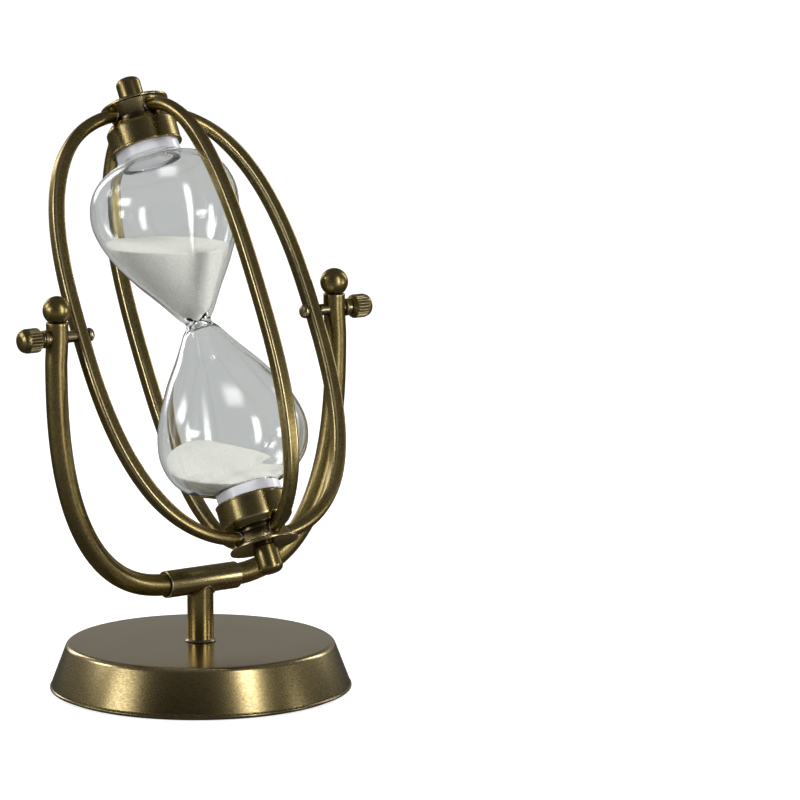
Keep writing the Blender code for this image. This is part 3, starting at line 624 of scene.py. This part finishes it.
square_even = add_node(bar_tree, "GeometryNodeResampleCurve", {
    "Curve": square_soft, "Count": bar["Sides"]})
first = figure(bar_tree, 'ARCTAN2', figure(
    bar_tree, 'SUBTRACT', bar["Half Width"], bar["Corner"]), bar["Half Width"])
circle = node_out(bar_tree, "GeometryNodeCurvePrimitiveCircle", {
    "Resolution": bar["Sides"], "Radius": bar["Half Width"]})
circle_turned = add_node(bar_tree, "GeometryNodeTransform", {
    "Geometry": circle, "Rotation": node_out(
        bar_tree, "ShaderNodeCombineXYZ", {"Z": first})})
sweep_square, sweep_round = (add_node(bar_tree, "GeometryNodeCurveToMesh", {
    "Curve": kept.outputs["Geometry"], "Profile Curve": outline.outputs[0], "Fill Caps": True})
    for outline in (square_even, circle_turned))
round_place = node_out(bar_tree, "GeometryNodeSampleIndex", {
    "Geometry": sweep_round.outputs[0], "Value": here,
    "Index": node_out(bar_tree, "GeometryNodeInputIndex")}, data_type='FLOAT_VECTOR')
to_end = figure(bar_tree, 'MINIMUM', share, figure(bar_tree, 'SUBTRACT', 1.0, share))
flatness = ranged(bar_tree, figure(bar_tree, 'DIVIDE', to_end, bar["Round Share"]), 0.35, 1.0,
                  ease='SMOOTHSTEP')
morph = add_node(bar_tree, "ShaderNodeMix", {
    "Factor": flatness, 4: round_place, 5: here}, data_type='VECTOR')
bar_shape = node_out(bar_tree, "GeometryNodeSetPosition", {
    "Geometry": sweep_square.outputs[0], "Position": morph.outputs[1]})
spoke = vector(bar_tree, 'SUBTRACT', {0: here, 1: kept.outputs["middle"]})
reach = add_node(bar_tree, "ShaderNodeVectorMath", {0: spoke}, operation='LENGTH').outputs["Value"]
corner_wear = ranged(bar_tree, figure(bar_tree, 'DIVIDE', reach, bar["Half Width"]),
                     1.08, 1.17, 0.55)
bar_worn = stored(bar_tree, bar_shape, "wear", corner_wear)
drawn_out = node_out(bar_tree, "ShaderNodeCombineXYZ", {
    "X": figure(bar_tree, 'MULTIPLY', length, 0.62),
    "Y": figure(bar_tree, 'MULTIPLY', length, 0.37)})
bar_laid = stored(bar_tree, bar_worn, "lay", vector(bar_tree, 'ADD', {0: spoke, 1: drawn_out}),
                  'FLOAT_VECTOR')
bar_smooth = node_out(bar_tree, "GeometryNodeSetShadeSmooth", {0: bar_laid})
end_tree(bar_tree, bar_smooth, bar["Finish"])


def arm_line(sign, count=64):
    """Centre line of an arm from inside the sleeve to the top of its post."""
    bend_top = pivot.z - BEND_BELOW_PIVOT
    wide, tall = POST_X + ARM_BULGE - ARM_FOOT, bend_top - SLEEVE_Z
    line = [Vector((sign * 0.0006 * (k + 0.5) ** 1.2, 0.0, SLEEVE_Z)) for k in (0, 4, 8)]
    for i in range(count + 1):
        t = math.radians(90 * i / count)
        s, c = math.sin(t), math.cos(t)
        r = ((s / wide) ** ARM_FULLNESS + (c / tall) ** ARM_FULLNESS) ** (-1 / ARM_FULLNESS)
        line.append(Vector((sign * (ARM_FOOT + r * s), 0.0, bend_top - r * c)))
    for k in range(1, 9):
        rise = k / 8
        line.append(Vector((sign * (POST_X + ARM_BULGE * max(0.0, 1 - rise * 1.6)), 0.0,
                            bend_top + (POST_TOP - POST_CHAMFER - bend_top) * rise)))
    return line


arm_brass = antique_brass("arm_brass", grain=1800.0, balance=0.42, roughness=0.35, swept=True,
                          contrast=2.0)
for side, sign in (("left", -1), ("right", 1)):
    arm = grown(side + "_arm_rod", path_mesh("arm_line", arm_line(sign)), bar_tree, {
        "Half Width": ROD_R, "Corner": ROD_R * 0.5, "Round Share": 1000.0, "Sides": 48,
        "Finish": arm_brass})
    give(arm, arm_brass, "stand", side + "_arm")


# ------------------------------------------------------------------ post tops and ball finials
# Each post is faced flat with a thin bright chamfer, and a turned brass ball with a flat seat is
# screwed onto it.
BALL_R = (ball_hi.x - ball_lo.x) / 2
SEAT_R = 0.0037
SEAT_TOP = POST_TOP + 0.0003
ball_brass = antique_brass("ball_brass", grain=1500.0, balance=0.55, roughness=0.33, dents=0.05,
                           contrast=0.8)
for side, sign in (("left", -1), ("right", 1)):
    lo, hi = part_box(side + "_ball_finial")
    middle_z = hi.z - BALL_R
    ball_line = []
    for k in range(29):
        a = math.radians(90 - 137 * k / 28)
        ball_line.append((abs(BALL_R * math.cos(a)) if k else 0.0,
                          middle_z + BALL_R * math.sin(a), 0.0))
    ball_line += [(SEAT_R, SEAT_TOP, 0.0), (0.0, SEAT_TOP, 0.0)]
    place = Matrix.Translation((sign * POST_X, 0.0, 0.0))
    give(turned(side + "_ball", ball_line, place, steps=96), ball_brass, "stand",
         side + "_ball_finial")
    lip_line = rounded([(0.0, POST_TOP, 0.0), (ROD_R, POST_TOP, 0.0005),
                        (ROD_R + 0.00002, POST_TOP - 0.0012, 0.0), (0.0, POST_TOP - 0.0012, 0.0)])
    lip_line = [(r, z, w * 0.3) for r, z, w in lip_line]
    give(turned(side + "_post_lip", lip_line, place, steps=64), ball_brass, "stand")


# ------------------------------------------------------------------ pivots
# A stepped pin runs through each post and the side of the cage, closed by a small dome nut
# inside the hoop. Outside the post come a collar and a fluted thumb knob.
upper_end = sum((Vector(c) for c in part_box("upper_finial")), Vector()) / 2
lower_end = sum((Vector(c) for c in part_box("lower_finial")), Vector()) / 2
cage_axis = (upper_end - lower_end).normalized()
LEAN = math.atan2(cage_axis.y, cage_axis.z)
CAGE = Matrix.Translation(pivot) @ Matrix.Rotation(-LEAN, 4, 'X')
FLUTES = 22
FLUTE_DEPTH = 0.00070
PIN_R = 0.0020
PIN_MIDDLE_R = 0.0026
PIN_END_R = 0.0015
NUT_R = 0.0031
NUT_ROUND = NUT_R * 0.62
COLLAR_R = 0.0039
COLLAR_STEP_R = COLLAR_R - 0.0006
COLLAR_BORE = 0.0021
KNOB_R = 0.0054
KNOB_BORE = 0.0023

pin_brass = antique_brass("pin_brass", grain=1700.0, worn=(0.48, 0.41, 0.27), balance=0.50,
                          roughness=0.30, dents=0.05, contrast=0.8)
knob_brass = antique_brass("knob_brass", grain=1600.0, balance=0.48, roughness=0.34, dents=0.05,
                           contrast=0.8)
collar_brass = antique_brass("collar_brass", grain=1600.0, balance=0.25, roughness=0.30,
                             contrast=0.8)

flute_tree, flute = new_tree(
    "fluted_knob", ("Flutes", "Int"), ("Depth", "Float"), ("Band Start", "Float"),
    ("Band End", "Float"), ("Run Out", "Float"), ("Finish", "Material"))
split = add_node(flute_tree, "ShaderNodeSeparateXYZ", {
    0: node_out(flute_tree, "GeometryNodeInputPosition")}).outputs
wave = figure(flute_tree, 'COSINE', figure(flute_tree, 'MULTIPLY', figure(
    flute_tree, 'ARCTAN2', split["Y"], split["X"]), flute["Flutes"]))
groove = figure(flute_tree, 'POWER', figure(flute_tree, 'MULTIPLY_ADD', wave, -0.5, 0.5), 1.6)
enter = ranged(flute_tree, split["Z"], flute["Band Start"], figure(
    flute_tree, 'ADD', flute["Band Start"], flute["Run Out"]))
leave = ranged(flute_tree, split["Z"], flute["Band End"], figure(
    flute_tree, 'SUBTRACT', flute["Band End"], flute["Run Out"]))
in_band = figure(flute_tree, 'MULTIPLY', enter, leave)
cut_in = figure(flute_tree, 'MULTIPLY', groove, in_band)
outward = vector(flute_tree, 'NORMALIZE', {0: node_out(
    flute_tree, "ShaderNodeCombineXYZ", {"X": split["X"], "Y": split["Y"]})})
sunk = figure(flute_tree, 'MULTIPLY', figure(flute_tree, 'MULTIPLY', cut_in, flute["Depth"]), -1.0)
fluted = add_node(flute_tree, "GeometryNodeSetPosition", {
    "Geometry": flute["Geometry"],
    "Offset": vector(flute_tree, 'SCALE', {0: outward, "Scale": sunk})})
# The flute grooves are stored darker than the ridges, and the ridges a little worn.
darkening = stored(flute_tree, fluted.outputs[0], "painted_shade_and_darkening",
               figure(flute_tree, 'MULTIPLY', cut_in, 0.75))
ridge = figure(flute_tree, 'MULTIPLY', figure(flute_tree, 'SUBTRACT', 1.0, groove), in_band)
worn = stored(flute_tree, darkening, "wear", figure(flute_tree, 'MULTIPLY', ridge, 0.7))
end_tree(flute_tree, worn, flute["Finish"])

for side, sign in (("left", -1), ("right", 1)):
    out_along_x = CAGE @ Matrix.Rotation(sign * math.pi / 2, 4, 'Y')

    def reach_of(node):
        """Nearest and farthest distance of a node from the middle plane."""
        lo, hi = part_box(node)
        return (lo.x, hi.x) if sign > 0 else (-hi.x, -lo.x)

    pin_in, pin_out = reach_of(side + "_pivot_pin")
    nut_in, nut_out = reach_of(side + "_dome_nut")
    collar_in, collar_out = reach_of(side + "_collar")
    knob_in, knob_out = reach_of(side + "_thumb_knob")

    pin_line = rounded([
        (0.0, pin_out, 0.0), (PIN_R, pin_out, 0.0003), (PIN_R, collar_in, 0.0),
        (PIN_MIDDLE_R, collar_in, 0.0), (PIN_MIDDLE_R, nut_out + 0.0066, 0.0),
        (PIN_END_R, nut_out + 0.0064, 0.0), (PIN_END_R, pin_in, 0.0002), (0.0, pin_in, 0.0)])
    give(turned(side + "_pin", pin_line, out_along_x, steps=48), pin_brass, "cage",
         side + "_pivot_pin")

    nut_line = [(0.0, nut_out, 0.0), (NUT_R * 0.80, nut_out, 0.0),
                (NUT_R * 0.90, nut_out - 0.0002, 0.5)]
    for k in range(1, 15):
        a = math.radians(25 - 115 * k / 14)
        nut_line.append((max(NUT_R * math.cos(a), 0.0) if k < 14 else 0.0,
                         nut_in + NUT_ROUND + NUT_ROUND * math.sin(a), 0.15))
    give(turned(side + "_dome", nut_line, out_along_x, steps=64), pin_brass, "cage",
         side + "_dome_nut")

    collar_line = rounded([
        (COLLAR_BORE, collar_out, 0.0), (COLLAR_STEP_R, collar_out, 0.0003),
        (COLLAR_STEP_R, collar_out - 0.0008, 0.0), (COLLAR_R, collar_out - 0.0009, 0.0003),
        (COLLAR_R, collar_in, 0.0005), (COLLAR_BORE, collar_in, 0.0)], 4)
    give(turned(side + "_collar_ring", collar_line, out_along_x, steps=64, closed=True),
         collar_brass, "cage", side + "_collar")

    knob_line = rounded([
        (0.0, knob_out, 0.0), (KNOB_R * 0.45, knob_out - 0.0002, 0.002),
        (KNOB_R * 0.86, knob_out - 0.0012, 0.0022), (KNOB_R, knob_out - 0.0034, 0.0012),
        (KNOB_R, knob_in + 0.0018, 0.0005), (KNOB_R - 0.0017, knob_in + 0.0003, 0.0002),
        (KNOB_R - 0.0019, knob_in, 0.0), (KNOB_BORE, knob_in, 0.0),
        (KNOB_BORE, pin_out + 0.0004, 0.0), (0.0, pin_out + 0.0004, 0.0)], 5)
    band = [p for p in knob_line if abs(p[0] - KNOB_R) < 1e-6]
    first_band = knob_line.index(band[0])
    last_band = knob_line.index(band[-1])
    top_z, low_z = band[0][1], band[-1][1]
    filled = [(KNOB_R, top_z + (low_z - top_z) * k / 22, 0.0) for k in range(1, 22)]
    knob_line = knob_line[:first_band + 1] + filled + knob_line[last_band:]
    blank = turned(side + "_knob_blank", knob_line, Matrix.Identity(4), steps=FLUTES * 10)
    knob = grown(side + "_knob", blank.data, flute_tree, {
        "Flutes": FLUTES, "Depth": FLUTE_DEPTH, "Band Start": low_z - 0.0007,
        "Band End": top_z + 0.0004, "Run Out": 0.0009, "Finish": knob_brass})
    bpy.data.objects.remove(blank, do_unlink=True)
    knob.data.transform(out_along_x)
    give(knob, knob_brass, side + "_knob", side + "_thumb_knob")


# ------------------------------------------------------------------ hoops
# Four bars, each bent to half an oval: round where they meet the hubs, flattened to a soft
# square along the sides. Two lie in the pivot plane, two across it.
HUB_REACH = 0.1054
RIM_THICK = 0.0009
NECK_R = 0.0111
GAP = 0.0003
HOOP_HALF_BAR = 0.0030
HOOP_TOP = HUB_REACH - RIM_THICK - GAP - HOOP_HALF_BAR
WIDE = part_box("right_dome_nut")[1].x + GAP + HOOP_HALF_BAR
GLASS_BELLY = 0.0334
NARROW = GLASS_BELLY + 0.0130 + HOOP_HALF_BAR
WIDE_FULLNESS = 2.6
NARROW_FULLNESS = 2.55


def hoop_line(half, power, count=150):
    """Half of a full-cornered oval in the XZ plane, from hub to hub."""
    line = []
    last = math.atan2(HOOP_TOP, NECK_R - 0.002)
    for i in range(count + 1):
        t = -last + 2 * last * i / count
        c, s = math.cos(t), math.sin(t)
        r = (abs(c / half) ** power + abs(s / HOOP_TOP) ** power) ** (-1 / power)
        line.append(Vector((r * c, 0.0, r * s)))
    return line


hoop_brass = antique_brass("hoop_brass", grain=1750.0, balance=0.52, roughness=0.31, swept=True,
                           contrast=2.8, dents=0.14)
hoops = (("hoop_right", WIDE, WIDE_FULLNESS, 0.0), ("hoop_back", NARROW, NARROW_FULLNESS, 90.0),
         ("hoop_left", WIDE, WIDE_FULLNESS, 180.0), ("hoop_front", NARROW, NARROW_FULLNESS, 270.0))
for name, half, power, turn in hoops:
    place = CAGE @ Matrix.Rotation(math.radians(turn), 4, 'Z')
    hoop = grown(name + "_bar", path_mesh("hoop_line", hoop_line(half, power)), bar_tree, {
        "Half Width": HOOP_HALF_BAR, "Corner": 0.0012, "Round Share": 0.20, "Sides": 44,
        "Finish": hoop_brass})
    hoop.data.transform(place)
    give(hoop, hoop_brass, "cage", name)


# ------------------------------------------------------------------ cage ends
# At each end the four hoops are soldered into a turned hub with a dished face, which carries a
# round-nosed finial. Below it a spun cap with a domed shoulder holds the white stopper, whose
# plug closes the neck of the glass.
FLARE_R = 0.0142
DISH = 0.0014
BOSS_R = 0.0064
STUD_BORE = 0.0023
CAP_DOME = 0.0019
CAP_SIDE = 0.0013
CAP_PLATE = 0.0014
FINIAL_ROUND = 0.0042
STOPPER_BORE = 0.01372
STOPPER_FLOOR = 0.0016
PLUG_R = 0.0113
BEAD_R = 0.00030
# How strongly the hub's neck and the creases are blackened as painted shade.
NECK_PAINTED_SHADE = -0.75
CREASE_PAINTED_SHADE = -0.8
cap_brass = antique_brass("cap_brass", grain=1500.0, balance=0.45, roughness=0.29, dents=0.12)
hub_brass = antique_brass("hub_brass", grain=1500.0, worn=(0.42, 0.33, 0.15), balance=0.48,
                          roughness=0.30, contrast=1.0)
finial_brass = antique_brass("finial_brass", grain=1500.0, balance=0.50, roughness=0.29, dents=0.06,
                             contrast=1.2)
solder = plain("silver_solder", (0.34, 0.325, 0.30), 0.34, metallic=1.0, grain=1400.0, spread=0.35,
               dents=0.5)
white_plastic = plain("white_plastic", (0.60, 0.60, 0.635), 0.25, grain=300.0, spread=0.03,
                      dents=0.05)

inverse = CAGE.inverted()


def span_along_axis(node):
    """Lowest and highest place of a node along the cage's axis, and its greatest radius."""
    points = [inverse @ v.co for v in frame["nodes"][node].data.vertices]
    return (min(p.z for p in points), max(p.z for p in points),
            max(math.hypot(p.x, p.y) for p in points))


hub_lo, hub_hi, hub_r = span_along_axis("upper_hub")
cap_lo, cap_hi, cap_r = span_along_axis("upper_cap")
fin_lo, fin_hi, fin_r = span_along_axis("upper_finial")
stop_lo, stop_hi, stop_r = span_along_axis("upper_stopper")
hub_tall = hub_hi - hub_lo
CONE_FOOT = hub_lo + hub_tall * 0.25
CONE_GRADE = (FLARE_R - NECK_R) / (hub_hi - RIM_THICK - CONE_FOOT)

hub_line = rounded([
    (STUD_BORE, hub_hi - DISH, 0.0), (BOSS_R, hub_hi - DISH, 0.0004),
    (hub_r - 0.0009, hub_hi, 0.0003), (hub_r, hub_hi, 0.0003),
    (hub_r, hub_hi - RIM_THICK * 1.25, 0.0004), (FLARE_R, hub_hi - RIM_THICK * 1.5, 0.0008),
    (NECK_R, hub_lo + hub_tall * 0.30, 0.0012), (NECK_R, hub_lo - 0.0004, 0.0),
    (STUD_BORE, hub_lo - 0.0004, 0.0)], 5)
# Painted shade: the hub's narrow neck, in the gap above the cap, is blackened in its colour.
hub_line = [(r, z, NECK_PAINTED_SHADE if z < hub_lo + hub_tall * 0.42 else w) for r, z, w in hub_line]

cap_line = rounded([
    (STUD_BORE, cap_hi, 0.0), (NECK_R + GAP, cap_hi, 0.0), (NECK_R + GAP, cap_hi + CAP_DOME, 0.0),
    (cap_r - 0.0026, cap_hi + CAP_DOME * 0.72, 0.0010), (cap_r, cap_hi - 0.0014, 0.0022),
    (cap_r, cap_lo + 0.0011, 0.0002), (cap_r + 0.00025, cap_lo + 0.0008, 0.0003),
    (cap_r + 0.0002, cap_lo, 0.0004), (cap_r - CAP_SIDE, cap_lo, 0.0003),
    (cap_r - CAP_SIDE, cap_hi - CAP_PLATE, 0.0), (STUD_BORE, cap_hi - CAP_PLATE, 0.0)], 6)
# Painted shade: the top of the cap's dome, in the crease round the hub's neck, is blackened.
cap_line = [(r, z, CREASE_PAINTED_SHADE if z > cap_hi + CAP_DOME * 0.8 else w) for r, z, w in cap_line]

finial_line = rounded([
    (0.0, fin_hi, 0.0), (fin_r, fin_hi, FINIAL_ROUND), (fin_r, fin_lo + 0.0016, 0.0002),
    (fin_r - 0.0007, fin_lo + 0.0010, 0.0), (fin_r - 0.0007, fin_lo, 0.0),
    (0.0, fin_lo, 0.0)], 9)
# Painted shade: the finial's foot, where it sits in the hub's dish, is blackened; the rest keeps a
# little wear.
finial_line = [(r, z, w * 0.15 if z > fin_lo + 0.0012 else CREASE_PAINTED_SHADE)
               for r, z, w in finial_line]

stopper_line = rounded([
    (0.0, stop_hi, 0.0), (stop_r, stop_hi, 0.0003), (stop_r, stop_lo, 0.0005),
    (STOPPER_BORE, stop_lo, 0.0), (STOPPER_BORE, stop_hi - STOPPER_FLOOR, 0.0),
    (PLUG_R, stop_hi - STOPPER_FLOOR, 0.0), (PLUG_R, stop_lo + 0.0008, 0.0006),
    (0.0, stop_lo + 0.0002, 0.0)])

for end, flip in (("upper", 0.0), ("lower", math.pi)):
    place = CAGE @ Matrix.Rotation(flip, 4, 'X')
    give(turned(end + "_hub_turned", hub_line, place, steps=112, closed=True, wear=0.9), hub_brass,
         "cage", end + "_hub")
    give(turned(end + "_cap_spun", cap_line, place, steps=128, closed=True, wear=0.55), cap_brass,
         "cage", end + "_cap")
    give(turned(end + "_finial_turned", finial_line, place, steps=80), finial_brass, "cage",
         end + "_finial")
    give(turned(end + "_stopper_ring", stopper_line, place, steps=112), white_plastic, "cage",
         end + "_stopper")

    for label, half, power, turn in hoops:
        line = hoop_line(half, power, 400)
        at = next(p for p in line if p.z > 0 and p.x <= NECK_R + CONE_GRADE * max(
            0.0, p.z - CONE_FOOT) + 0.0005)
        ahead = (line[line.index(at) - 3] - at).normalized()
        across = Vector((0.0, 1.0, 0.0))
        upright = ahead.cross(across)
        lift = HOOP_HALF_BAR * 1.03
        ring = []
        for k in range(40):
            a = 2 * math.pi * k / 40
            slant = CONE_GRADE * math.sin(a) * lift
            ring.append(at + across * math.cos(a) * lift + upright * math.sin(a) * lift
                        + ahead * slant * -0.6 * math.copysign(1.0, upright.z))
        joint = grown(f"{end}_{label}_solder", path_mesh("solder_line", ring, closed=True),
                      bead_tree, {"Bead Radius": BEAD_R, "Unevenness": 0.0006, "Grain": 900.0,
                                  "Finish": solder})
        joint.data.transform(place @ Matrix.Rotation(math.radians(turn if flip == 0.0 else -turn),
                                                     4, 'Z'))
        give(joint, solder, "cage")


# ------------------------------------------------------------------ glass
# Two blown bulbs in one piece. The wall is thick at the waist, even over the bellies, and the
# necks carry two faint ridges under the white stoppers.
GLASS_WALL = 0.0016
WAIST_R = 0.0056
ORIFICE_R = 0.0011
WAIST_SPAN = 0.0030
SHOULDER = stop_lo - 0.0008
RIDGE_HIGH = 0.00050
RIDGE_WIDE = 0.00042
GLASS_NECK_R = 0.0134
GLASS_END = span_along_axis("glass_bulbs")[1]
BULB_SHAPE = ((0.0, WAIST_R), (0.055, WAIST_R + 0.085 * GLASS_BELLY), (0.17, 0.42 * GLASS_BELLY),
              (0.33, 0.67 * GLASS_BELLY), (0.50, 0.88 * GLASS_BELLY), (0.63, 0.98 * GLASS_BELLY),
              (0.74, GLASS_BELLY), (0.86, 0.915 * GLASS_BELLY), (0.94, 0.74 * GLASS_BELLY),
              (0.985, 0.51 * GLASS_BELLY), (1.0, GLASS_NECK_R))


def bulb_outside(d):
    """Outside radius at distance d from the waist."""
    u = d / SHOULDER
    if u >= 1.0:
        return GLASS_NECK_R
    k = max(i for i in range(len(BULB_SHAPE) - 1) if BULB_SHAPE[i][0] <= u)

    def slope(j):
        if j in (0, len(BULB_SHAPE) - 1):
            return 0.0
        return ((BULB_SHAPE[j + 1][1] - BULB_SHAPE[j - 1][1])
                / (BULB_SHAPE[j + 1][0] - BULB_SHAPE[j - 1][0]))

    (u0, r0), (u1, r1) = BULB_SHAPE[k], BULB_SHAPE[k + 1]
    h = u1 - u0
    t = (u - u0) / h
    m0, m1 = slope(k) * h, slope(k + 1) * h
    if k == len(BULB_SHAPE) - 2:
        m1 = m0
    return (r0 * (2 * t ** 3 - 3 * t ** 2 + 1) + m0 * (t ** 3 - 2 * t ** 2 + t)
            + r1 * (3 * t ** 2 - 2 * t ** 3) + m1 * (t ** 3 - t ** 2))


def bulb_inside(d):
    """Inside radius, with the thick solid waist thinning out to the wall."""
    step = 0.0002
    grade = (bulb_outside(d + step) - bulb_outside(max(d - step, 0.0))) / (2 * step)
    wall = GLASS_WALL * min(math.sqrt(1 + grade ** 2), 1.6)
    wall += max(WAIST_R - ORIFICE_R - wall, 0.0) * math.exp(-(d / WAIST_SPAN) ** 2)
    return max(bulb_outside(d) - wall, ORIFICE_R)


def ridges(d):
    """Two faint rings on the neck."""
    return sum(RIDGE_HIGH * math.exp(-((d - at) / RIDGE_WIDE) ** 2)
               for at in (SHOULDER + 0.0002, SHOULDER - 0.0014))


heights = [SHOULDER * (k / 96) ** 0.92 for k in range(97)]
heights += [SHOULDER + (GLASS_END - SHOULDER) * k / 10 for k in range(1, 11)]
outer = [(bulb_outside(d) + ridges(d), d) for d in heights]
inner = [(bulb_inside(d), d) for d in heights]
glass_line = [(r, d, 0.0) for r, d in reversed(outer)] + [(r, -d, 0.0) for r, d in outer[1:]]
glass_line += [(r, -d, 0.0) for r, d in reversed(inner)] + [(r, d, 0.0) for r, d in inner[1:]]
bulbs = turned("glass_blown", glass_line, CAGE, steps=144, closed=True)
clear, tree, surface = new_material("clear_glass")
ripple = noise(tree, object_place(tree), 38.0, 1.0)
shade(tree, surface, Base_Color=(0.965, 0.98, 0.975, 1.0), Transmission_Weight=1.0, IOR=1.48,
      Roughness=figure(tree, 'MULTIPLY', ripple, 0.012),
      Normal=rough_bump(tree, 0.12, 0.0006, ripple))
give(bulbs, clear, "cage", "glass_bulbs")
bulbs.visible_shadow = False


# ------------------------------------------------------------------ sand
# Fine off-white sand. In the upper bulb its surface lies level; in the lower one it has run into
# a low heap straight below the waist.
SAND_GAP = 0.00018
REPOSE = math.radians(16.5)
level_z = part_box("upper_sand")[1].z
heap_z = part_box("lower_sand")[1].z

sand_stuff, tree, surface = new_material("sand")
where = object_place(tree)
grains = add_node(tree, "ShaderNodeTexVoronoi", {"Vector": where, "Scale": 3600.0}).outputs
tint = add_node(tree, "ShaderNodeValToRGB", {0: node_out(
    tree, "ShaderNodeSeparateColor", {0: grains["Color"]})})
tint.color_ramp.elements[0].color = (0.42, 0.41, 0.37, 1.0)
tint.color_ramp.elements[1].color = (0.64, 0.635, 0.595, 1.0)
drift = figure(tree, 'MULTIPLY', noise(tree, where, 60.0, 3.0), 0.35)
shade(tree, surface, Base_Color=mixed(tree, drift, tint.outputs[0], (0.54, 0.53, 0.49, 1.0)),
      Normal=rough_bump(tree, 0.5, 0.00012, grains["Distance"]), Roughness=0.85,
      Specular_IOR_Level=0.25)

grain_tree, grain = new_tree(
    "loose_grains", ("Per Square Metre", "Float"), ("Grain Radius", "Float"), ("Seed", "Int"),
    ("Finish", "Material"))
scatter = add_node(grain_tree, "GeometryNodeDistributePointsOnFaces", {
    "Mesh": grain["Geometry"], "Density": grain["Per Square Metre"], "Seed": grain["Seed"]})
one_grain = node_out(grain_tree, "GeometryNodeMeshIcoSphere", {
    "Radius": grain["Grain Radius"], "Subdivisions": 1})
sizes = add_node(grain_tree, "FunctionNodeRandomValue", {
    0: (0.6, 0.6, 0.5), 1: (1.25, 1.2, 1.0), "Seed": grain["Seed"]}, data_type='FLOAT_VECTOR')
spin = node_out(grain_tree, "FunctionNodeRandomValue", {
    1: (6.28, 6.28, 6.28), "Seed": figure(grain_tree, 'ADD', grain["Seed"], 1)},
    data_type='FLOAT_VECTOR')
strewn = node_out(grain_tree, "GeometryNodeInstanceOnPoints", {
    "Points": scatter.outputs["Points"], "Instance": one_grain,
    "Scale": sizes.outputs[0], "Rotation": spin})
heaped = add_node(grain_tree, "GeometryNodeJoinGeometry")
grain_tree.links.new(strewn, heaped.inputs[0])
grain_tree.links.new(grain["Geometry"], heaped.inputs[0])
end_tree(grain_tree, heaped.outputs[0], grain["Finish"])


def fill_of(name, place, near, far):
    """All of one bulb's inside between two heights, clear of the glass."""
    depths = [far + (near - far) * k / 80 for k in range(81)]
    line = [(max(bulb_inside(d) - SAND_GAP, 0.0004), d, 0.0) for d in depths]
    return turned(name, [(0.0, far, 0.0)] + line + [(0.0, near, 0.0)], place, steps=128)


def keep_common(piece, cutter):
    """What two solids share, as a plain mesh."""
    shared = piece.modifiers.new("shared", 'BOOLEAN')
    shared.operation = 'INTERSECT'
    shared.solver = 'EXACT'
    shared.object = cutter
    mesh = final_mesh(piece)
    bpy.data.objects.remove(cutter, do_unlink=True)
    return mesh


def heap_line(top, low, slope, blunt, wide=0.12, count=70):
    """Profile of a heap with a blunt tip, closed below."""
    line = [(0.0, top, 0.0)]
    for k in range(1, count + 1):
        r = wide * (k / count) ** 2
        line.append((r, top - slope * (math.sqrt(r * r + blunt * blunt) - blunt), 0.0))
    line += [(wide, low, 0.0), (0.0, low, 0.0)]
    return line


upper_fill = fill_of("upper_fill", CAGE, WAIST_SPAN * 0.5, stop_lo - 0.0006)
level_block = turned("level_block", heap_line(level_z, pivot.z - 0.1, 0.0, 0.004), LEVEL, steps=96)
lower_fill = fill_of("lower_fill", CAGE @ Matrix.Rotation(math.pi, 4, 'X'), 0.016, GLASS_END)
heap_block = turned("heap_block", heap_line(heap_z, 0.0, math.tan(REPOSE), 0.006), LEVEL, steps=128)
for name, fill_piece, block, seed in (("upper_sand", upper_fill, level_block, 3),
                                      ("lower_sand", lower_fill, heap_block, 8)):
    body = keep_common(fill_piece, block)
    body.materials.clear()
    sand = grown(name + "_heap", body, grain_tree, {
        "Per Square Metre": 280000.0, "Grain Radius": 0.00016, "Seed": seed,
        "Finish": sand_stuff})
    give(sand, sand_stuff, "cage", name)


# ------------------------------------------------------------------ last update
bpy.context.view_layer.update()
